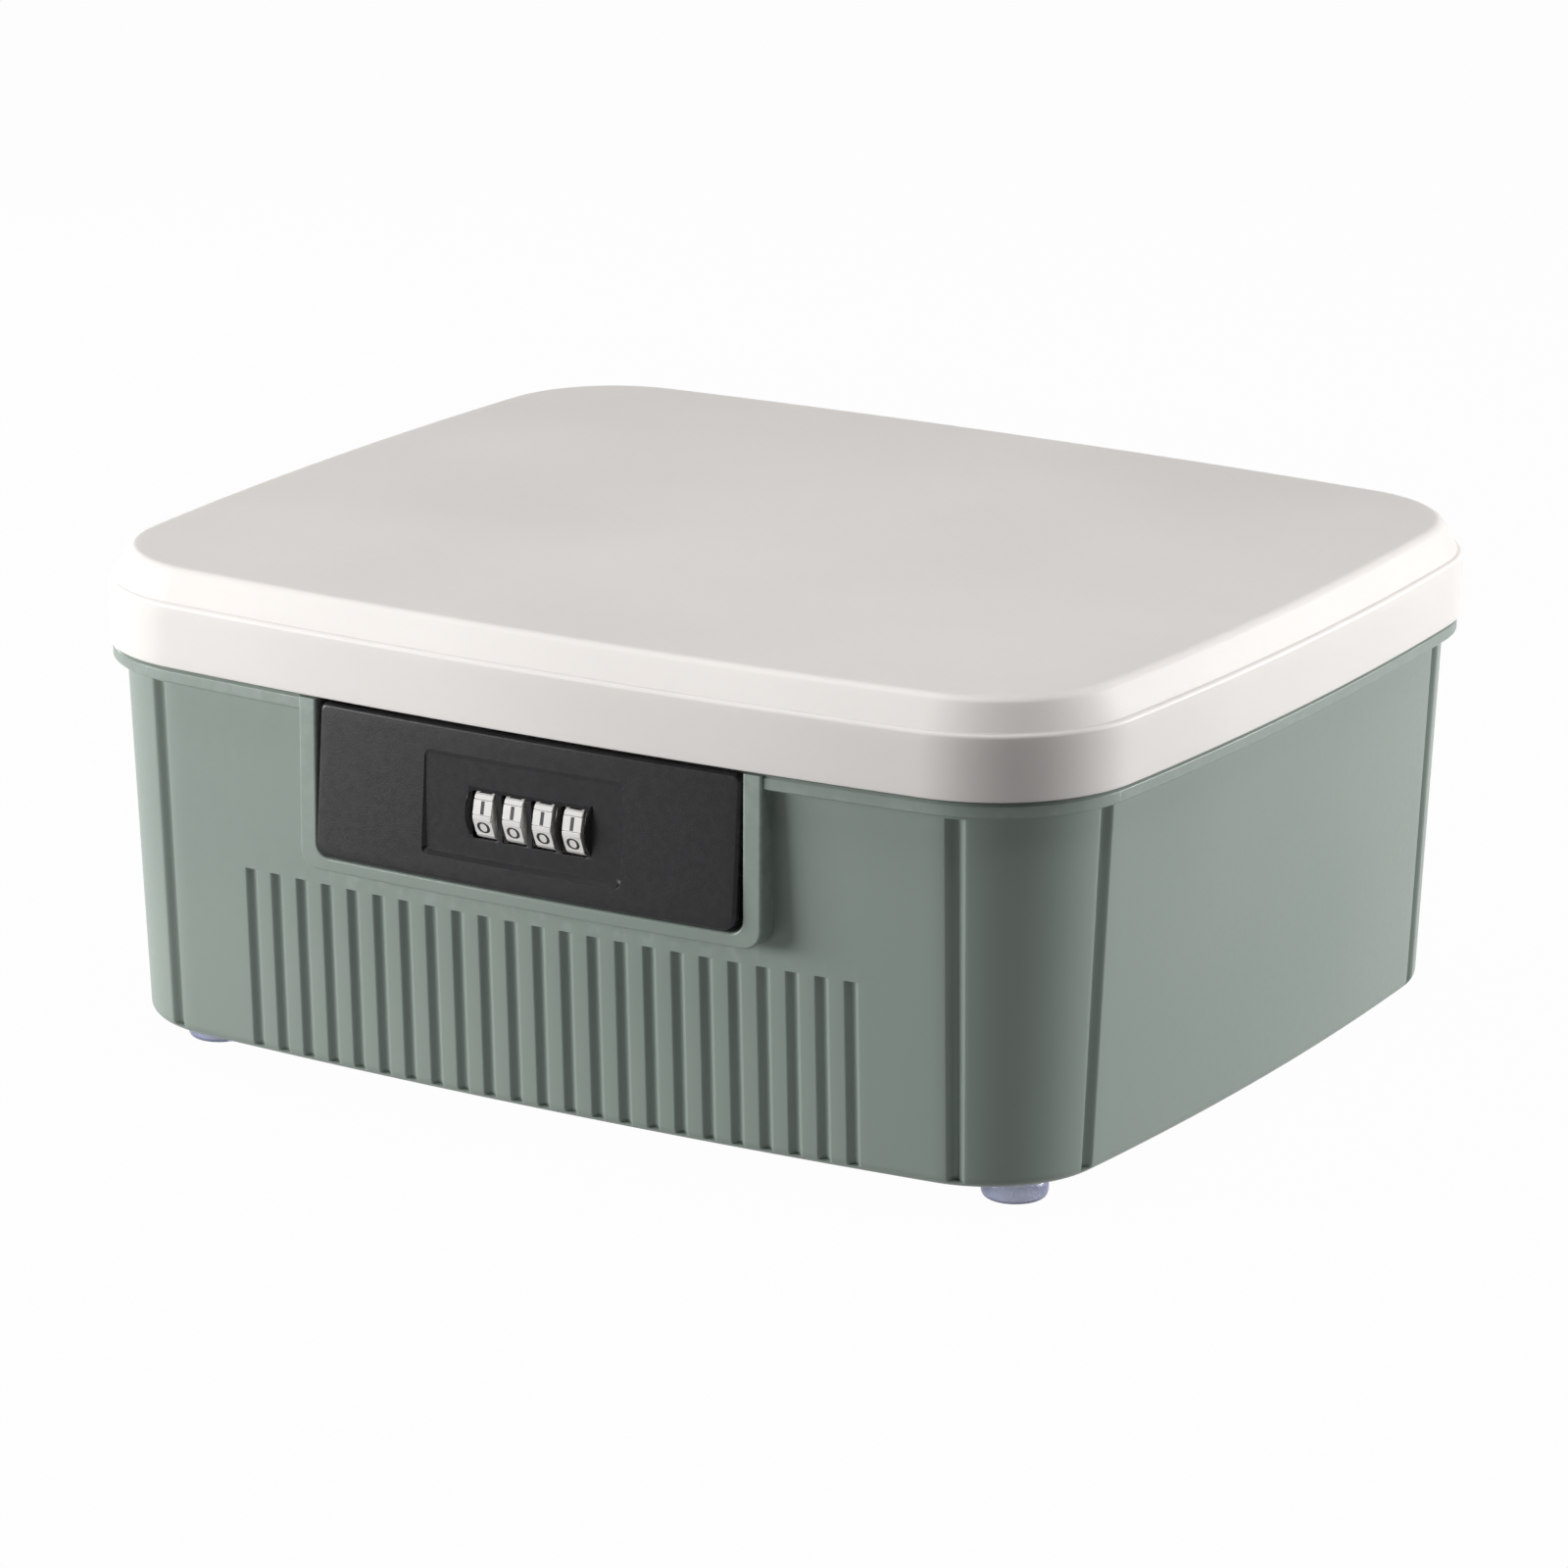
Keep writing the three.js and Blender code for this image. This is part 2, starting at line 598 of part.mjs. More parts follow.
function lidKnuckle(middle) {
  const { y, z } = HINGE_AXIS;
  const root = { y: 122.6, base: SKIRT_EDGE + 0.4, top: SKIRT_EDGE + 10.5 };
  const web = new THREE.Shape();
  web.moveTo(root.y, root.base);
  web.lineTo(y - 2.6, z + 2.3);
  web.lineTo(y + 2.4, z + 2.5);
  web.lineTo(y - 2.1, root.top - 2);
  web.lineTo(root.y + 0.3, root.top);
  const knuckle = rodX(middle - LID_KNUCKLE_HALF, middle + LID_KNUCKLE_HALF, y, z, KNUCKLE_RADIUS);
  return join(knuckle, sideways(web, middle, 2 * LID_KNUCKLE_HALF));
}

function lid() {
  const body = join(lidShell(), flapLug(-LUG_X), flapLug(LUG_X), lidKnuckle(-HINGE_X), lidKnuckle(HINGE_X));
  return cut(body, ...hingeBores());
}

function hingePin(side) {
  const half = LID_KNUCKLE_HALF + TUB_KNUCKLE_WIDTH;
  const middle = side * HINGE_X;
  return rodX(middle - half, middle + half, HINGE_AXIS.y, HINGE_AXIS.z, PIN_RADIUS);
}

// Lock flap

function dialX(index) {
  return DIAL_AXIS.x + (index - (DIAL_COUNT - 1) / 2) * DIAL_PITCH;
}

function flapCover() {
  const slab = {
    half: FLAP_HALF, bottom: FLAP_BASE - 1, top: SKIRT_EDGE, lean: FLAP_LEAN, leanFrom: FLAP_TOP,
  };
  const outline = roundedRect(FLAP_HALF, FLAP_BASE, FLAP_TOP, FLAP_ROUND.low, FLAP_ROUND.high);
  const front = frontSlab({ ...slab, half: FLAP_HALF + 1, inset: FLAP_TOP_INSET, back: FLAP_BACK });
  const outer = pushed(outline, FRONT_CLEAR, FLAP_BACK + 1).intersect(front);
  const inside = roundedRect(FLAP_HALF - FLAP_WALL, FLAP_BASE + FLAP_WALL, SKIRT_EDGE + 4,
    FLAP_INNER_ROUND, SQUARE_CORNER);
  const lining = frontSlab({ ...slab, inset: FLAP_TOP_INSET + FLAP_WALL, back: FLAP_BACK + 3 });
  const hollow = pushed(inside, FRONT_CLEAR, FLAP_BACK + 3).intersect(lining);
  const heelRelief = block(-FLAP_HALF - 1, FLAP_HALF + 1, FLAP_HEEL.y, FLAP_BACK + 5,
    FLAP_BASE - 2, FLAP_BASE + FLAP_HEEL.height);
  const embedded = frontSlab({ ...slab, inset: FLAP_TOP_INSET + 1, back: FLAP_BACK + 5 });
  const carriers = join(...cheeks(), ...posts(), springWall(), ...pivotBosses()).intersect(embedded);
  const body = cut(outer, hollow, heelRelief).add(carriers);
  return cut(body, faceRecess(), dialBay(), ...dialWindows(), axleBore(), ...postBores());
}

// Two cheeks inside the cover carry the dial axle
function cheeks() {
  const far = CHEEK.x + CHEEK.thickness;
  return [[-far, -CHEEK.x], [CHEEK.x, far]].map(([x0, x1]) => block(
    DIAL_AXIS.x + x0, DIAL_AXIS.x + x1, POST_FRONT, LATCH_FRONT - RUNNING_GAP, CHEEK.base, CHEEK.top,
  ));
}

function postPlaces() {
  return [-1, 1].flatMap((side) => POST_ROWS.map((z) => [side * POST_X, z]));
}

function posts() {
  return postPlaces().map(([x, z]) => rodY(POST_FRONT, BACK_PLATE_FRONT - RUNNING_GAP, x, z, POST_RADIUS));
}

function postBores() {
  return postPlaces().map(([x, z]) => rodY(SCREW_BITE.front - 1, FLAP_BACK + 5, x, z, SCREW_BITE.bore));
}

// A rib inside the cover that the latch spring pushes against
function springWall() {
  return block(SPRING_WALL.x, SPRING_WALL.x + SPRING_WALL.thickness, POST_FRONT, LATCH_FRONT - RUNNING_GAP,
    POST_ROWS[1], POST_ROWS[0]);
}

// A shallow recess in the cover's face, deeper towards its foot
function faceRecess() {
  const outline = roundedRect(RECESS_HALF, RECESS_BASE, RECESS_TOP, RECESS_ROUND, RECESS_ROUND);
  const behind = frontSlab({
    half: RECESS_HALF + 1,
    inset: FLAP_TOP_INSET + RECESS_LEAST_DEPTH - FLAP_LEAN * (FLAP_TOP - RECESS_TOP),
    back: POCKET_BACK, bottom: RECESS_BASE - 1, top: RECESS_TOP + 1,
    lean: FLAP_LEAN - RECESS_LEAN, leanFrom: RECESS_TOP,
  });
  return cut(pushed(outline, FRONT_CLEAR, BAY.back), behind);
}

// The room for the dials behind the face, scooped out so that the wheels turn clear of it
function dialBay() {
  const left = DIAL_AXIS.x - BAY.half;
  const right = DIAL_AXIS.x + BAY.half;
  const low = DIAL_AXIS.z - BAY.halfHeight;
  const high = DIAL_AXIS.z + BAY.halfHeight;
  const scoop = rodX(left, right, DIAL_AXIS.y, DIAL_AXIS.z, BAY.scoopRadius, 24);
  const room = block(left, right, FRONT_CLEAR, BAY.back, low, high);
  return block(left, right, BAY.front, BAY.back, low, high).add(scoop.intersect(room));
}

function dialWindows() {
  return Array.from({ length: DIAL_COUNT }, (_, i) => block(
    dialX(i) - WINDOW_HALF_WIDTH, dialX(i) + WINDOW_HALF_WIDTH, FRONT_CLEAR, BAY.back,
    DIAL_AXIS.z - WINDOW_HALF_HEIGHT, DIAL_AXIS.z + WINDOW_HALF_HEIGHT,
  ));
}

function axleBore() {
  const half = AXLE_HALF + 0.5;
  return rodX(DIAL_AXIS.x - half, DIAL_AXIS.x + half, DIAL_AXIS.y, DIAL_AXIS.z, AXLE_RADIUS + RUNNING_GAP);
}

// Bosses on the cover that carry the flap's hinge pins, either side of each lug
function pivotBosses() {
  const { y, z } = FLAP_PIVOT;
  const web = BOSS_RADIUS - 0.2;
  const spans = [[BOSS_NEAR, LUG_X - LUG_GAP], [LUG_X + LUG_GAP, FLAP_HALF - 1.5]];
  return [-1, 1].flatMap((side) => spans.map(([near, far]) => {
    const [x0, x1] = [side * near, side * far].sort((a, b) => a - b);
    const [bore0, bore1] = [side * (BOSS_NEAR - 0.8), side * (FLAP_HALF - 1.9)].sort((a, b) => a - b);
    const boss = join(rodX(x0, x1, y, z, BOSS_RADIUS), block(x0, x1, POST_FRONT, y, z - web, z + web));
    return cut(boss, rodX(bore0, bore1, y, z, PIN_RADIUS + RUNNING_GAP));
  }));
}

function flapPin(side) {
  const ends = [side * (BOSS_NEAR + 0.1), side * (FLAP_HALF - 2.5)];
  return rodX(Math.min(...ends), Math.max(...ends), FLAP_PIVOT.y, FLAP_PIVOT.z, PIN_RADIUS);
}

function backPlate() {
  const front = BACK_PLATE_FRONT;
  const back = front + BACK_PLATE_THICKNESS;
  const edge = { half: 46, base: SKIRT_EDGE - 37.2, top: SKIRT_EDGE - 10, round: 3 };
  let plate = pushed(roundedRect(edge.half, edge.base, edge.top, edge.round, edge.round), front, back);
  for (const side of [-1, 1]) {
    const x = side * PRONG_X;
    plate = cut(plate, block(x - PRONG_SLOT.left, x + PRONG_SLOT.right, front - 1, back + 1,
      PRONG_SLOT.bottom, PRONG_SLOT.top));
  }
  const holes = postPlaces().map(([x, z]) => rodY(front - 1, back + 1, x, z, SCREW_HOLE));
  return cut(plate, ...holes);
}

function backPlateScrew(side, z) {
  const head = { from: BACK_PLATE_FRONT + BACK_PLATE_THICKNESS + 0.1, height: 1.1, radius: 2.5 };
  return join(
    rodY(SCREW_BITE.front, head.from + 0.2, side * POST_X, z, SCREW_BITE.radius),
    rodY(head.from, head.from + head.height, side * POST_X, z, head.radius),
  );
}

// Dials

// A wheel with a flat for each figure and a narrow bar between each two flats
function dialWheel(index) {
  const x = dialX(index);
  const { y, z } = DIAL_AXIS;
  const halfBar = Math.atan(DIAL_BAR_HALF / DIAL_BAR_FACE);
  const front = Math.PI - DIAL_TILT;
  const bars = Array.from({ length: DIAL_SIDES }, (_, i) => front + (2 * i + 1) * DIAL_HALF_STEP);
  const rim = bars.flatMap((bar) => [bar - halfBar, bar + halfBar])
    .map((angle) => [y + DIAL_REACH * Math.cos(angle), z + DIAL_REACH * Math.sin(angle)]);
  const body = sideways(shapeOf(rim), x, DIAL_WIDTH);
  const half = DIAL_WIDTH / 2 + 1;
  return cut(body, rodX(x - half, x + half, DIAL_AXIS.y, DIAL_AXIS.z, SLEEVE_RADIUS + RUNNING_GAP));
}

// A sleeve turned to a hub and a disc, with a gate cut in the disc for a fin of the latch slide
function gateSleeve(index) {
  const half = DIAL_WIDTH / 2;
  const shoulder = half - 0.2;
  const discFrom = half + FIN_GAP + FIN_THICKNESS + 0.2;
  const discTo = discFrom + GATE_THICKNESS;
  const bore = AXLE_RADIUS + RUNNING_GAP;
  const profile = [
    [bore, -half], [SLEEVE_RADIUS, -half], [SLEEVE_RADIUS, shoulder], [SLEEVE_NECK_RADIUS, shoulder],
    [SLEEVE_NECK_RADIUS, discFrom], [GATE_RADIUS, discFrom], [GATE_RADIUS, discTo], [bore, discTo],
    [bore, -half],
  ].map(([r, along]) => new THREE.Vector2(r, along));
  const turned = new THREE.LatheGeometry(profile, 16).rotateZ(-Math.PI / 2);
  const x = dialX(index);
  const body = toSolid(turned.translate(x, DIAL_AXIS.y, DIAL_AXIS.z));
  const gateHalf = FIN_HALF_HEIGHT + 0.4;
  const gate = block(x + discFrom - 0.5, x + discTo + 0.5, DIAL_AXIS.y + 3.5, DIAL_AXIS.y + 8,
    DIAL_AXIS.z - gateHalf, DIAL_AXIS.z + gateHalf);
  return cut(body, gate);
}

function dialAxle() {
  return rodX(DIAL_AXIS.x - AXLE_HALF, DIAL_AXIS.x + AXLE_HALF, DIAL_AXIS.y, DIAL_AXIS.z, AXLE_RADIUS);
}

// A strip above the dials, with one springy finger resting near each
function detentSpring() {
  const z = DIAL_AXIS.z + DIAL_REACH + RUNNING_GAP;
  const thickness = 0.5;
  const half = CHEEK.x - 0.5;
  const edge = { front: -123, back: -120.6, tip: -113.5 };
  const strip = block(DIAL_AXIS.x - half, DIAL_AXIS.x + half, edge.front, edge.back, z, z + thickness);
  const fingers = Array.from({ length: DIAL_COUNT }, (_, i) => block(
    dialX(i) - 2, dialX(i) + 2, edge.back - 0.4, edge.tip, z, z + thickness,
  ));
  return join(strip, ...fingers);
}

// Latch: the slide's fins pass the gates, and its windows catch behind the keeper's barbs

function latchSlide() {
  const front = LATCH_FRONT;
  const back = front + LATCH_THICKNESS;
  const edge = { half: TAB.x + TAB.thickness, base: SKIRT_EDGE - 36.8, top: SKIRT_EDGE - 18, round: 1 };
  let plate = pushed(roundedRect(edge.half, edge.base, edge.top, edge.round, edge.round), front, back);
  for (const side of [-1, 1]) {
    const x = side * PRONG_X;
    plate = cut(plate, block(x - 3.1, x + 0.9, front - 1, back + 1, PRONG_SLOT.bottom, PRONG_SLOT.top));
  }
  const fins = Array.from({ length: DIAL_COUNT }, (_, i) => {
    const x = dialX(i) + DIAL_WIDTH / 2 + FIN_GAP;
    return block(x, x + FIN_THICKNESS, DIAL_AXIS.y + 3.9, front + 0.5,
      DIAL_AXIS.z - FIN_HALF_HEIGHT, DIAL_AXIS.z + FIN_HALF_HEIGHT);
  });
  const tab = block(TAB.x, TAB.x + TAB.thickness, TAB.front, front + 0.5,
    LATCH_SPRING.z - 3, LATCH_SPRING.z + 3);
  return join(plate, ...fins, tab);
}

// A compression spring between the slide's tab and the wall in the cover
function latchSpring() {
  const { x, y, z, length, radius, wire, turns } = LATCH_SPRING;
  class Helix extends THREE.Curve {
    getPoint(t, target = new THREE.Vector3()) {
      const angle = 2 * Math.PI * turns * t;
      return target.set(x + length * t, y + radius * Math.cos(angle), z + radius * Math.sin(angle));
    }
  }
  const section = shapeOf(arcPoints({ x: 0, y: 0 }, wire, 0, 2 * Math.PI, 5));
  const options = { extrudePath: new Helix(), steps: turns * 8, bevelEnabled: false };
  return toSolid(new THREE.ExtrudeGeometry(section, options));
}

function keeperPlate() {
  const front = POCKET_BACK - RUNNING_GAP - KEEPER_THICKNESS;
  const back = POCKET_BACK - RUNNING_GAP;
  const edge = { half: 36, base: SKIRT_EDGE - 37, top: SKIRT_EDGE - 27, round: 2 };
  let plate = pushed(roundedRect(edge.half, edge.base, edge.top, edge.round, edge.round), front, back);
  const barb = { tip: -112.8, point: -111.4, heel: -111, reach: 2 };
  const half = 0.6;
  for (const side of [-1, 1]) {
    plate = cut(plate, rodY(front - 1, back + 1, side * KEEPER_SCREW_X, KEEPER_SCREW_Z, SCREW_HOLE));
    const x = side * PRONG_X;
    const prong = shapeOf([
      [x + half, front + 0.5], [x + half, barb.heel], [x + barb.reach, barb.point], [x + 0.2, barb.tip],
      [x - half, barb.tip], [x - half, front + 0.5],
    ]);
    plate = plate.add(raised(prong, PRONG_BASE, PRONG_BASE + PRONG_HEIGHT));
  }
  return plate;
}

function keeperScrew(side) {
  const head = { back: POCKET_BACK - RUNNING_GAP - KEEPER_THICKNESS - 0.1, height: 1.1, radius: 2.8 };
  const shank = { end: KEEPER_BOSS_BACK - 2, radius: 1.4 };
  const x = side * KEEPER_SCREW_X;
  return join(
    rodY(head.back - 0.2, shank.end, x, KEEPER_SCREW_Z, shank.radius),
    rodY(head.back - head.height, head.back, x, KEEPER_SCREW_Z, head.radius),
  );
}

// Feet: a soft domed pad with a spigot pressed into the tub's seat

function foot([x, y]) {
  const top = TUB_BASE - FOOT_SEAT.height - RUNNING_GAP;
  const spigotTop = top + FOOT_SEAT.socketDepth - 0.2;
  const profile = [
    [0, 0], [6.6, 0], [7.7, 0.4], [8.2, 1.3], [FOOT_RADIUS, 3], [8.1, top - 0.5], [7.4, top],
    [FOOT_SPIGOT_RADIUS, top], [FOOT_SPIGOT_RADIUS, spigotTop], [0, spigotTop],
  ].map(([r, z]) => new THREE.Vector2(r, z));
  const turned = new THREE.LatheGeometry(profile, 16).rotateX(Math.PI / 2);
  return toSolid(turned.translate(x, y, 0));
}

// Assembly

const box = new THREE.Group();
box.position.y = CENTRE_SHIFT;

function place(name, solid, finish) {
  const mesh = new THREE.Mesh(toGeometry(solid), new THREE.MeshStandardMaterial(FINISHES[finish]));
  mesh.name = name;
  box.add(mesh);
}

place('tub', tub(), 'green');
footPlaces().forEach((spot, i) => place(`foot_${i + 1}`, foot(spot), 'rubber'));
place('keeper_plate', keeperPlate(), 'steel');
place('keeper_screw_left', keeperScrew(-1), 'steel');
place('keeper_screw_right', keeperScrew(1), 'steel');

place('lid', lid(), 'white');
place('lid_hinge_pin_left', hingePin(-1), 'steel');
place('lid_hinge_pin_right', hingePin(1), 'steel');

place('flap_cover', flapCover(), 'black');
place('flap_back_plate', backPlate(), 'black');
place('flap_hinge_pin_left', flapPin(-1), 'steel');
place('flap_hinge_pin_right', flapPin(1), 'steel');
POST_ROWS.forEach((z, row) => {
  place(`back_plate_screw_${2 * row + 1}`, backPlateScrew(-1, z), 'steel');
  place(`back_plate_screw_${2 * row + 2}`, backPlateScrew(1, z), 'steel');
});

place('dial_axle', dialAxle(), 'steel');
place('dial_detent_spring', detentSpring(), 'brass');
for (let i = 0; i < DIAL_COUNT; i += 1) {
  place(`dial_wheel_${i + 1}`, dialWheel(i), 'dial');
  place(`dial_gate_sleeve_${i + 1}`, gateSleeve(i), 'brass');
}
place('latch_slide', latchSlide(), 'steel');
place('latch_spring', latchSpring(), 'steel');

export default box;
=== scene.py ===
"""Looks of a lockable medicine storage box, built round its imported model.

A ribbed green tub carries an off-white lid, hinged at the rear. A black lock flap with four code
wheels hangs from the lid in a pocket of the tub's front. Forms are worked out in millimetres
from the middle of the skirt's outline, with heights above the surface that the box stands on,
and become metres in the model's own frame when a piece is made.
"""
import json
import logging
import math
from dataclasses import dataclass, replace
from enum import Enum
from typing import Callable, Iterable, Optional, Sequence, Union

import bmesh
import bpy
import numpy as np
from mathutils import Matrix, Vector
from mathutils.geometry import delaunay_2d_cdt


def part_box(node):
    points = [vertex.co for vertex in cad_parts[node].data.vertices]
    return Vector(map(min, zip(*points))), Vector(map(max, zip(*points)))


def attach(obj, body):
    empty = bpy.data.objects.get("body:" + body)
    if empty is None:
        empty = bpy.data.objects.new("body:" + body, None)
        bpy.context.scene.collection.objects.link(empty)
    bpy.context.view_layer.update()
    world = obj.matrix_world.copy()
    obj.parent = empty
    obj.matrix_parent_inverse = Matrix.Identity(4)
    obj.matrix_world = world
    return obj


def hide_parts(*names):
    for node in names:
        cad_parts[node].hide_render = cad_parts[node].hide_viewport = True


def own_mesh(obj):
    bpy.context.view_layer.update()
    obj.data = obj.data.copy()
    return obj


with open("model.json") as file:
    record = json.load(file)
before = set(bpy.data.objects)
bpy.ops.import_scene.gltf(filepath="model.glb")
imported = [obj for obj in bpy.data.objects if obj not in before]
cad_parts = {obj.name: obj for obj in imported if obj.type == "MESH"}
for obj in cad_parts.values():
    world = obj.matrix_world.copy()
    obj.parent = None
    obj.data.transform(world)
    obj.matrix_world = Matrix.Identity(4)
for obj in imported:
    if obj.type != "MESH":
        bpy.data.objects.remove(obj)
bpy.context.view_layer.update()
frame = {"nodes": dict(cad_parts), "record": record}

LOG = logging.getLogger("lock_box")

MM = 0.001
WIDTH = 300.0
DEPTH = 254.0
FRONT_BULGE = 7.1
SIDE_BULGE = 6.4
CORNER_RADIUS = 40.3
FOOT_HEIGHT = 8.0
SKIRT_EDGE = 108.0
LID_HEIGHT = 24.6
LIP_HEIGHT = 10.0
WALL = 2.4
RUNNING_GAP = 0.3
HINGE_X = 78.0
HINGE_Y = 128.4
HINGE_Z = SKIRT_EDGE - 2.6
KNUCKLE_RADIUS = 3.5
PIVOT_Y = -119.6
PIVOT_Z = SKIRT_EDGE - 7.0
PIVOT_RADIUS = 3.0
PIN_BORE = 1.6
KEEPER_SCREW_X = 9.0
KEEPER_SCREW_Z = SKIRT_EDGE - 32.0
PLATE_SCREW_X = 42.5
PLATE_SCREW_ROWS = (SKIRT_EDGE - 13.0, SKIRT_EDGE - 34.0)
DUST = "c9c7c2"
MIDDLE_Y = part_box("lid")[0][1] / MM + DEPTH / 2

Piece = bpy.types.Object
Finish = bpy.types.Material
Node = bpy.types.Node
NodeTree = bpy.types.NodeTree
Socket = bpy.types.NodeSocket
Point = tuple[float, float, float]
Pair = tuple[float, float]
Depth = Callable[[float, float], float]
Value = Union[float, Sequence[float], Socket]


class Body(str, Enum):
    """The bodies that pieces ride on."""

    TUB = "tub_body"
    LID = "lid_body"
    FLAP = "lock_flap"


class Slot(str, Enum):
    """The record's material slots."""

    GREEN = "green_plastic"
    WHITE = "white_plastic"
    BLACK = "black_plastic"
    DIAL = "dial_plastic"
    RUBBER = "foot_rubber"
    STEEL = "steel"
    BRASS = "brass"


# Outline of the skirt

@dataclass(frozen=True)
class Columns:
    """Places round the skirt's outline, anticlockwise from the front's middle.

    Args:
        spot: x and y of each place.
        outward: unit direction that each place faces.
        behind_joint: distance of each place, along the outline, behind the start of the corner
            that ends its front or rear half.
    """

    spot: np.ndarray
    outward: np.ndarray
    behind_joint: np.ndarray

    def ring(self, inset: float, height: float) -> list[Point]:
        """Points of the outline drawn in by an inset, at a height."""
        drawn = self.spot - self.outward * inset
        return [(x, y, height) for x, y in drawn]


class Outline:
    """Four wide arcs joined by round corners."""

    def __init__(self) -> None:
        """Works out the arcs' centres and radii from the outline's driving sizes."""
        across = WIDTH / 2 - SIDE_BULGE
        along = DEPTH / 2 - FRONT_BULGE
        self.front_radius = (across**2 + FRONT_BULGE**2) / (2 * FRONT_BULGE)
        self.side_radius = (along**2 + SIDE_BULGE**2) / (2 * SIDE_BULGE)
        self.front_y = self.front_radius - DEPTH / 2
        self.side_x = WIDTH / 2 - self.side_radius
        self.corner = self._corner_centre()
        self.front_end = math.atan2(self.corner[1] - self.front_y, self.corner[0])
        self.side_end = math.atan2(self.corner[1], self.corner[0] - self.side_x)
        self.front_length = (self.front_end + math.pi / 2) * self.front_radius
        self.corner_length = (self.side_end - self.front_end) * CORNER_RADIUS
        self.side_length = -self.side_end * self.side_radius

    def _corner_centre(self) -> Pair:
        """Centre of the round corner at the front right.

        Returns:
            The crossing of the two circles on which the centre lies.
        """
        reach_front = self.front_radius - CORNER_RADIUS
        reach_side = self.side_radius - CORNER_RADIUS
        step = np.array([self.side_x, -self.front_y])
        apart = float(np.hypot(*step))
        along = (reach_front**2 - reach_side**2 + apart**2) / (2 * apart)
        across = math.sqrt(reach_front**2 - along**2)
        unit = step / apart
        foot = np.array([0.0, self.front_y]) + unit * along
        normal = np.array([-unit[1], unit[0]])
        crossings = (foot + normal * across, foot - normal * across)
        x, y = next(c for c in crossings if c[0] > 0 and c[1] < 0)
        return float(x), float(y)

    def before_joint(self, x: float) -> float:
        """Distance along the front from a place on it to the corner's start."""
        return self.front_length - math.asin(x / self.front_radius) * self.front_radius

    def front_surface(self, x: float, inset: float) -> float:
        """Y of the front, drawn in by an inset, at an x."""
        return self.front_y - math.sqrt((self.front_radius - inset) ** 2 - x**2)

    def _quarter(self, front: Sequence[float], corner: Sequence[float], side: Sequence[float]) -> list:
        """Places from the front's middle to the right side's middle.

        Args:
            front: distance of each place before the joint of the front and the corner.
            corner: distance of each place behind that joint, without either end.
            side: distance of each place behind the joint of the corner and the side.

        Returns:
            For each place its x and y, its outward direction and its distance behind the joint.
        """
        places = []

        def put(middle: Pair, radius: float, angle: float, away: float) -> None:
            """Notes one place on an arc."""
            out = (math.cos(angle), math.sin(angle))
            places.append(((middle[0] + radius * out[0], middle[1] + radius * out[1]), out, away))

        for away in front:
            put((0.0, self.front_y), self.front_radius, self.front_end - away / self.front_radius, -away)
        for away in corner:
            angle = self.front_end + away / CORNER_RADIUS
            put(self.corner, CORNER_RADIUS, angle, away)
        for away in side:
            angle = self.side_end + away / self.side_radius
            put((self.side_x, 0.0), self.side_radius, angle, self.corner_length + away)
        return places

    def columns(self, front: Sequence[float], rear: Sequence[float], corner: Sequence[float],
                side: Sequence[float]) -> Columns:
        """Places all round the outline.

        Args:
            front: distance of each place before the end of the front's right half.
            rear: the same for the rear.
            corner: distances of the places inside each corner from its start.
            side: distances of the places along half a side from the corner's end.

        Returns:
            The places, anticlockwise from the front's middle.
        """
        ahead = self._quarter(front, corner, side)
        behind = self._quarter(rear, corner, side)

        def turned(places: Iterable, sx: int, sy: int) -> list:
            """The same places in another quarter."""
            return [((p[0] * sx, p[1] * sy), (o[0] * sx, o[1] * sy), away) for p, o, away in places]

        loop = ahead + turned(reversed(behind[:-1]), 1, -1)
        loop += turned(behind[1:], -1, -1) + turned(reversed(ahead[1:-1]), -1, 1)
        spots, directions, aways = zip(*loop)
        return Columns(np.array(spots), np.array(directions), np.array(aways))


OUTLINE = Outline()


@dataclass(frozen=True)
class DialGroup:
    """Where the four code wheels sit, which the flap and the wheels share.

    Args:
        count: number of wheels.
        pitch: distance between two wheels.
        x: middle of the group.
        y: axis of the wheels.
        z: height of the axis.
        tilt: how far each front facet is turned up, in degrees.
        sweep: radius of the room that the wheels turn in.
    """

    count: int = 4
    pitch: float = 8.7
    x: float = 2.2
    y: float = -119.97
    z: float = SKIRT_EDGE - 21.9
    tilt: float = 13.0
    sweep: float = 9.15

    def middle(self, number: int) -> float:
        """X of a wheel's middle, the wheels numbered from 0."""
        return self.x + (number - (self.count - 1) / 2) * self.pitch


DIALS = DialGroup()


def even_steps(start: float, end: float, count: int) -> list[float]:
    """Evenly spaced values from a start to an end."""
    return [start + (end - start) * i / count for i in range(count + 1)]


def bend(inset: float, height: float, radius: float, start: float, end: float, steps: int) -> list[Pair]:
    """Stations round a bend of a wall's section.

    Args:
        inset: inset of the bend's centre.
        height: height of the bend's centre.
        radius: radius of the bend.
        start: first angle in degrees, 0 facing outwards and 90 upwards.
        end: last angle in degrees.
        steps: number of steps.

    Returns:
        Inset and height of each station.
    """
    angles = [math.radians(start + (end - start) * i / steps) for i in range(steps + 1)]
    return [(inset - radius * math.cos(a), height + radius * math.sin(a)) for a in angles]


# Forms and pieces

def new_object(name: str, data: bpy.types.ID) -> Piece:
    """Makes an object and links it to the scene.

    Args:
        name: name of the object.
        data: its mesh, curve, lamp or camera.

    Returns:
        The object, at the origin.
    """
    made = bpy.data.objects.new(name, data)
    bpy.context.scene.collection.objects.link(made)
    return made


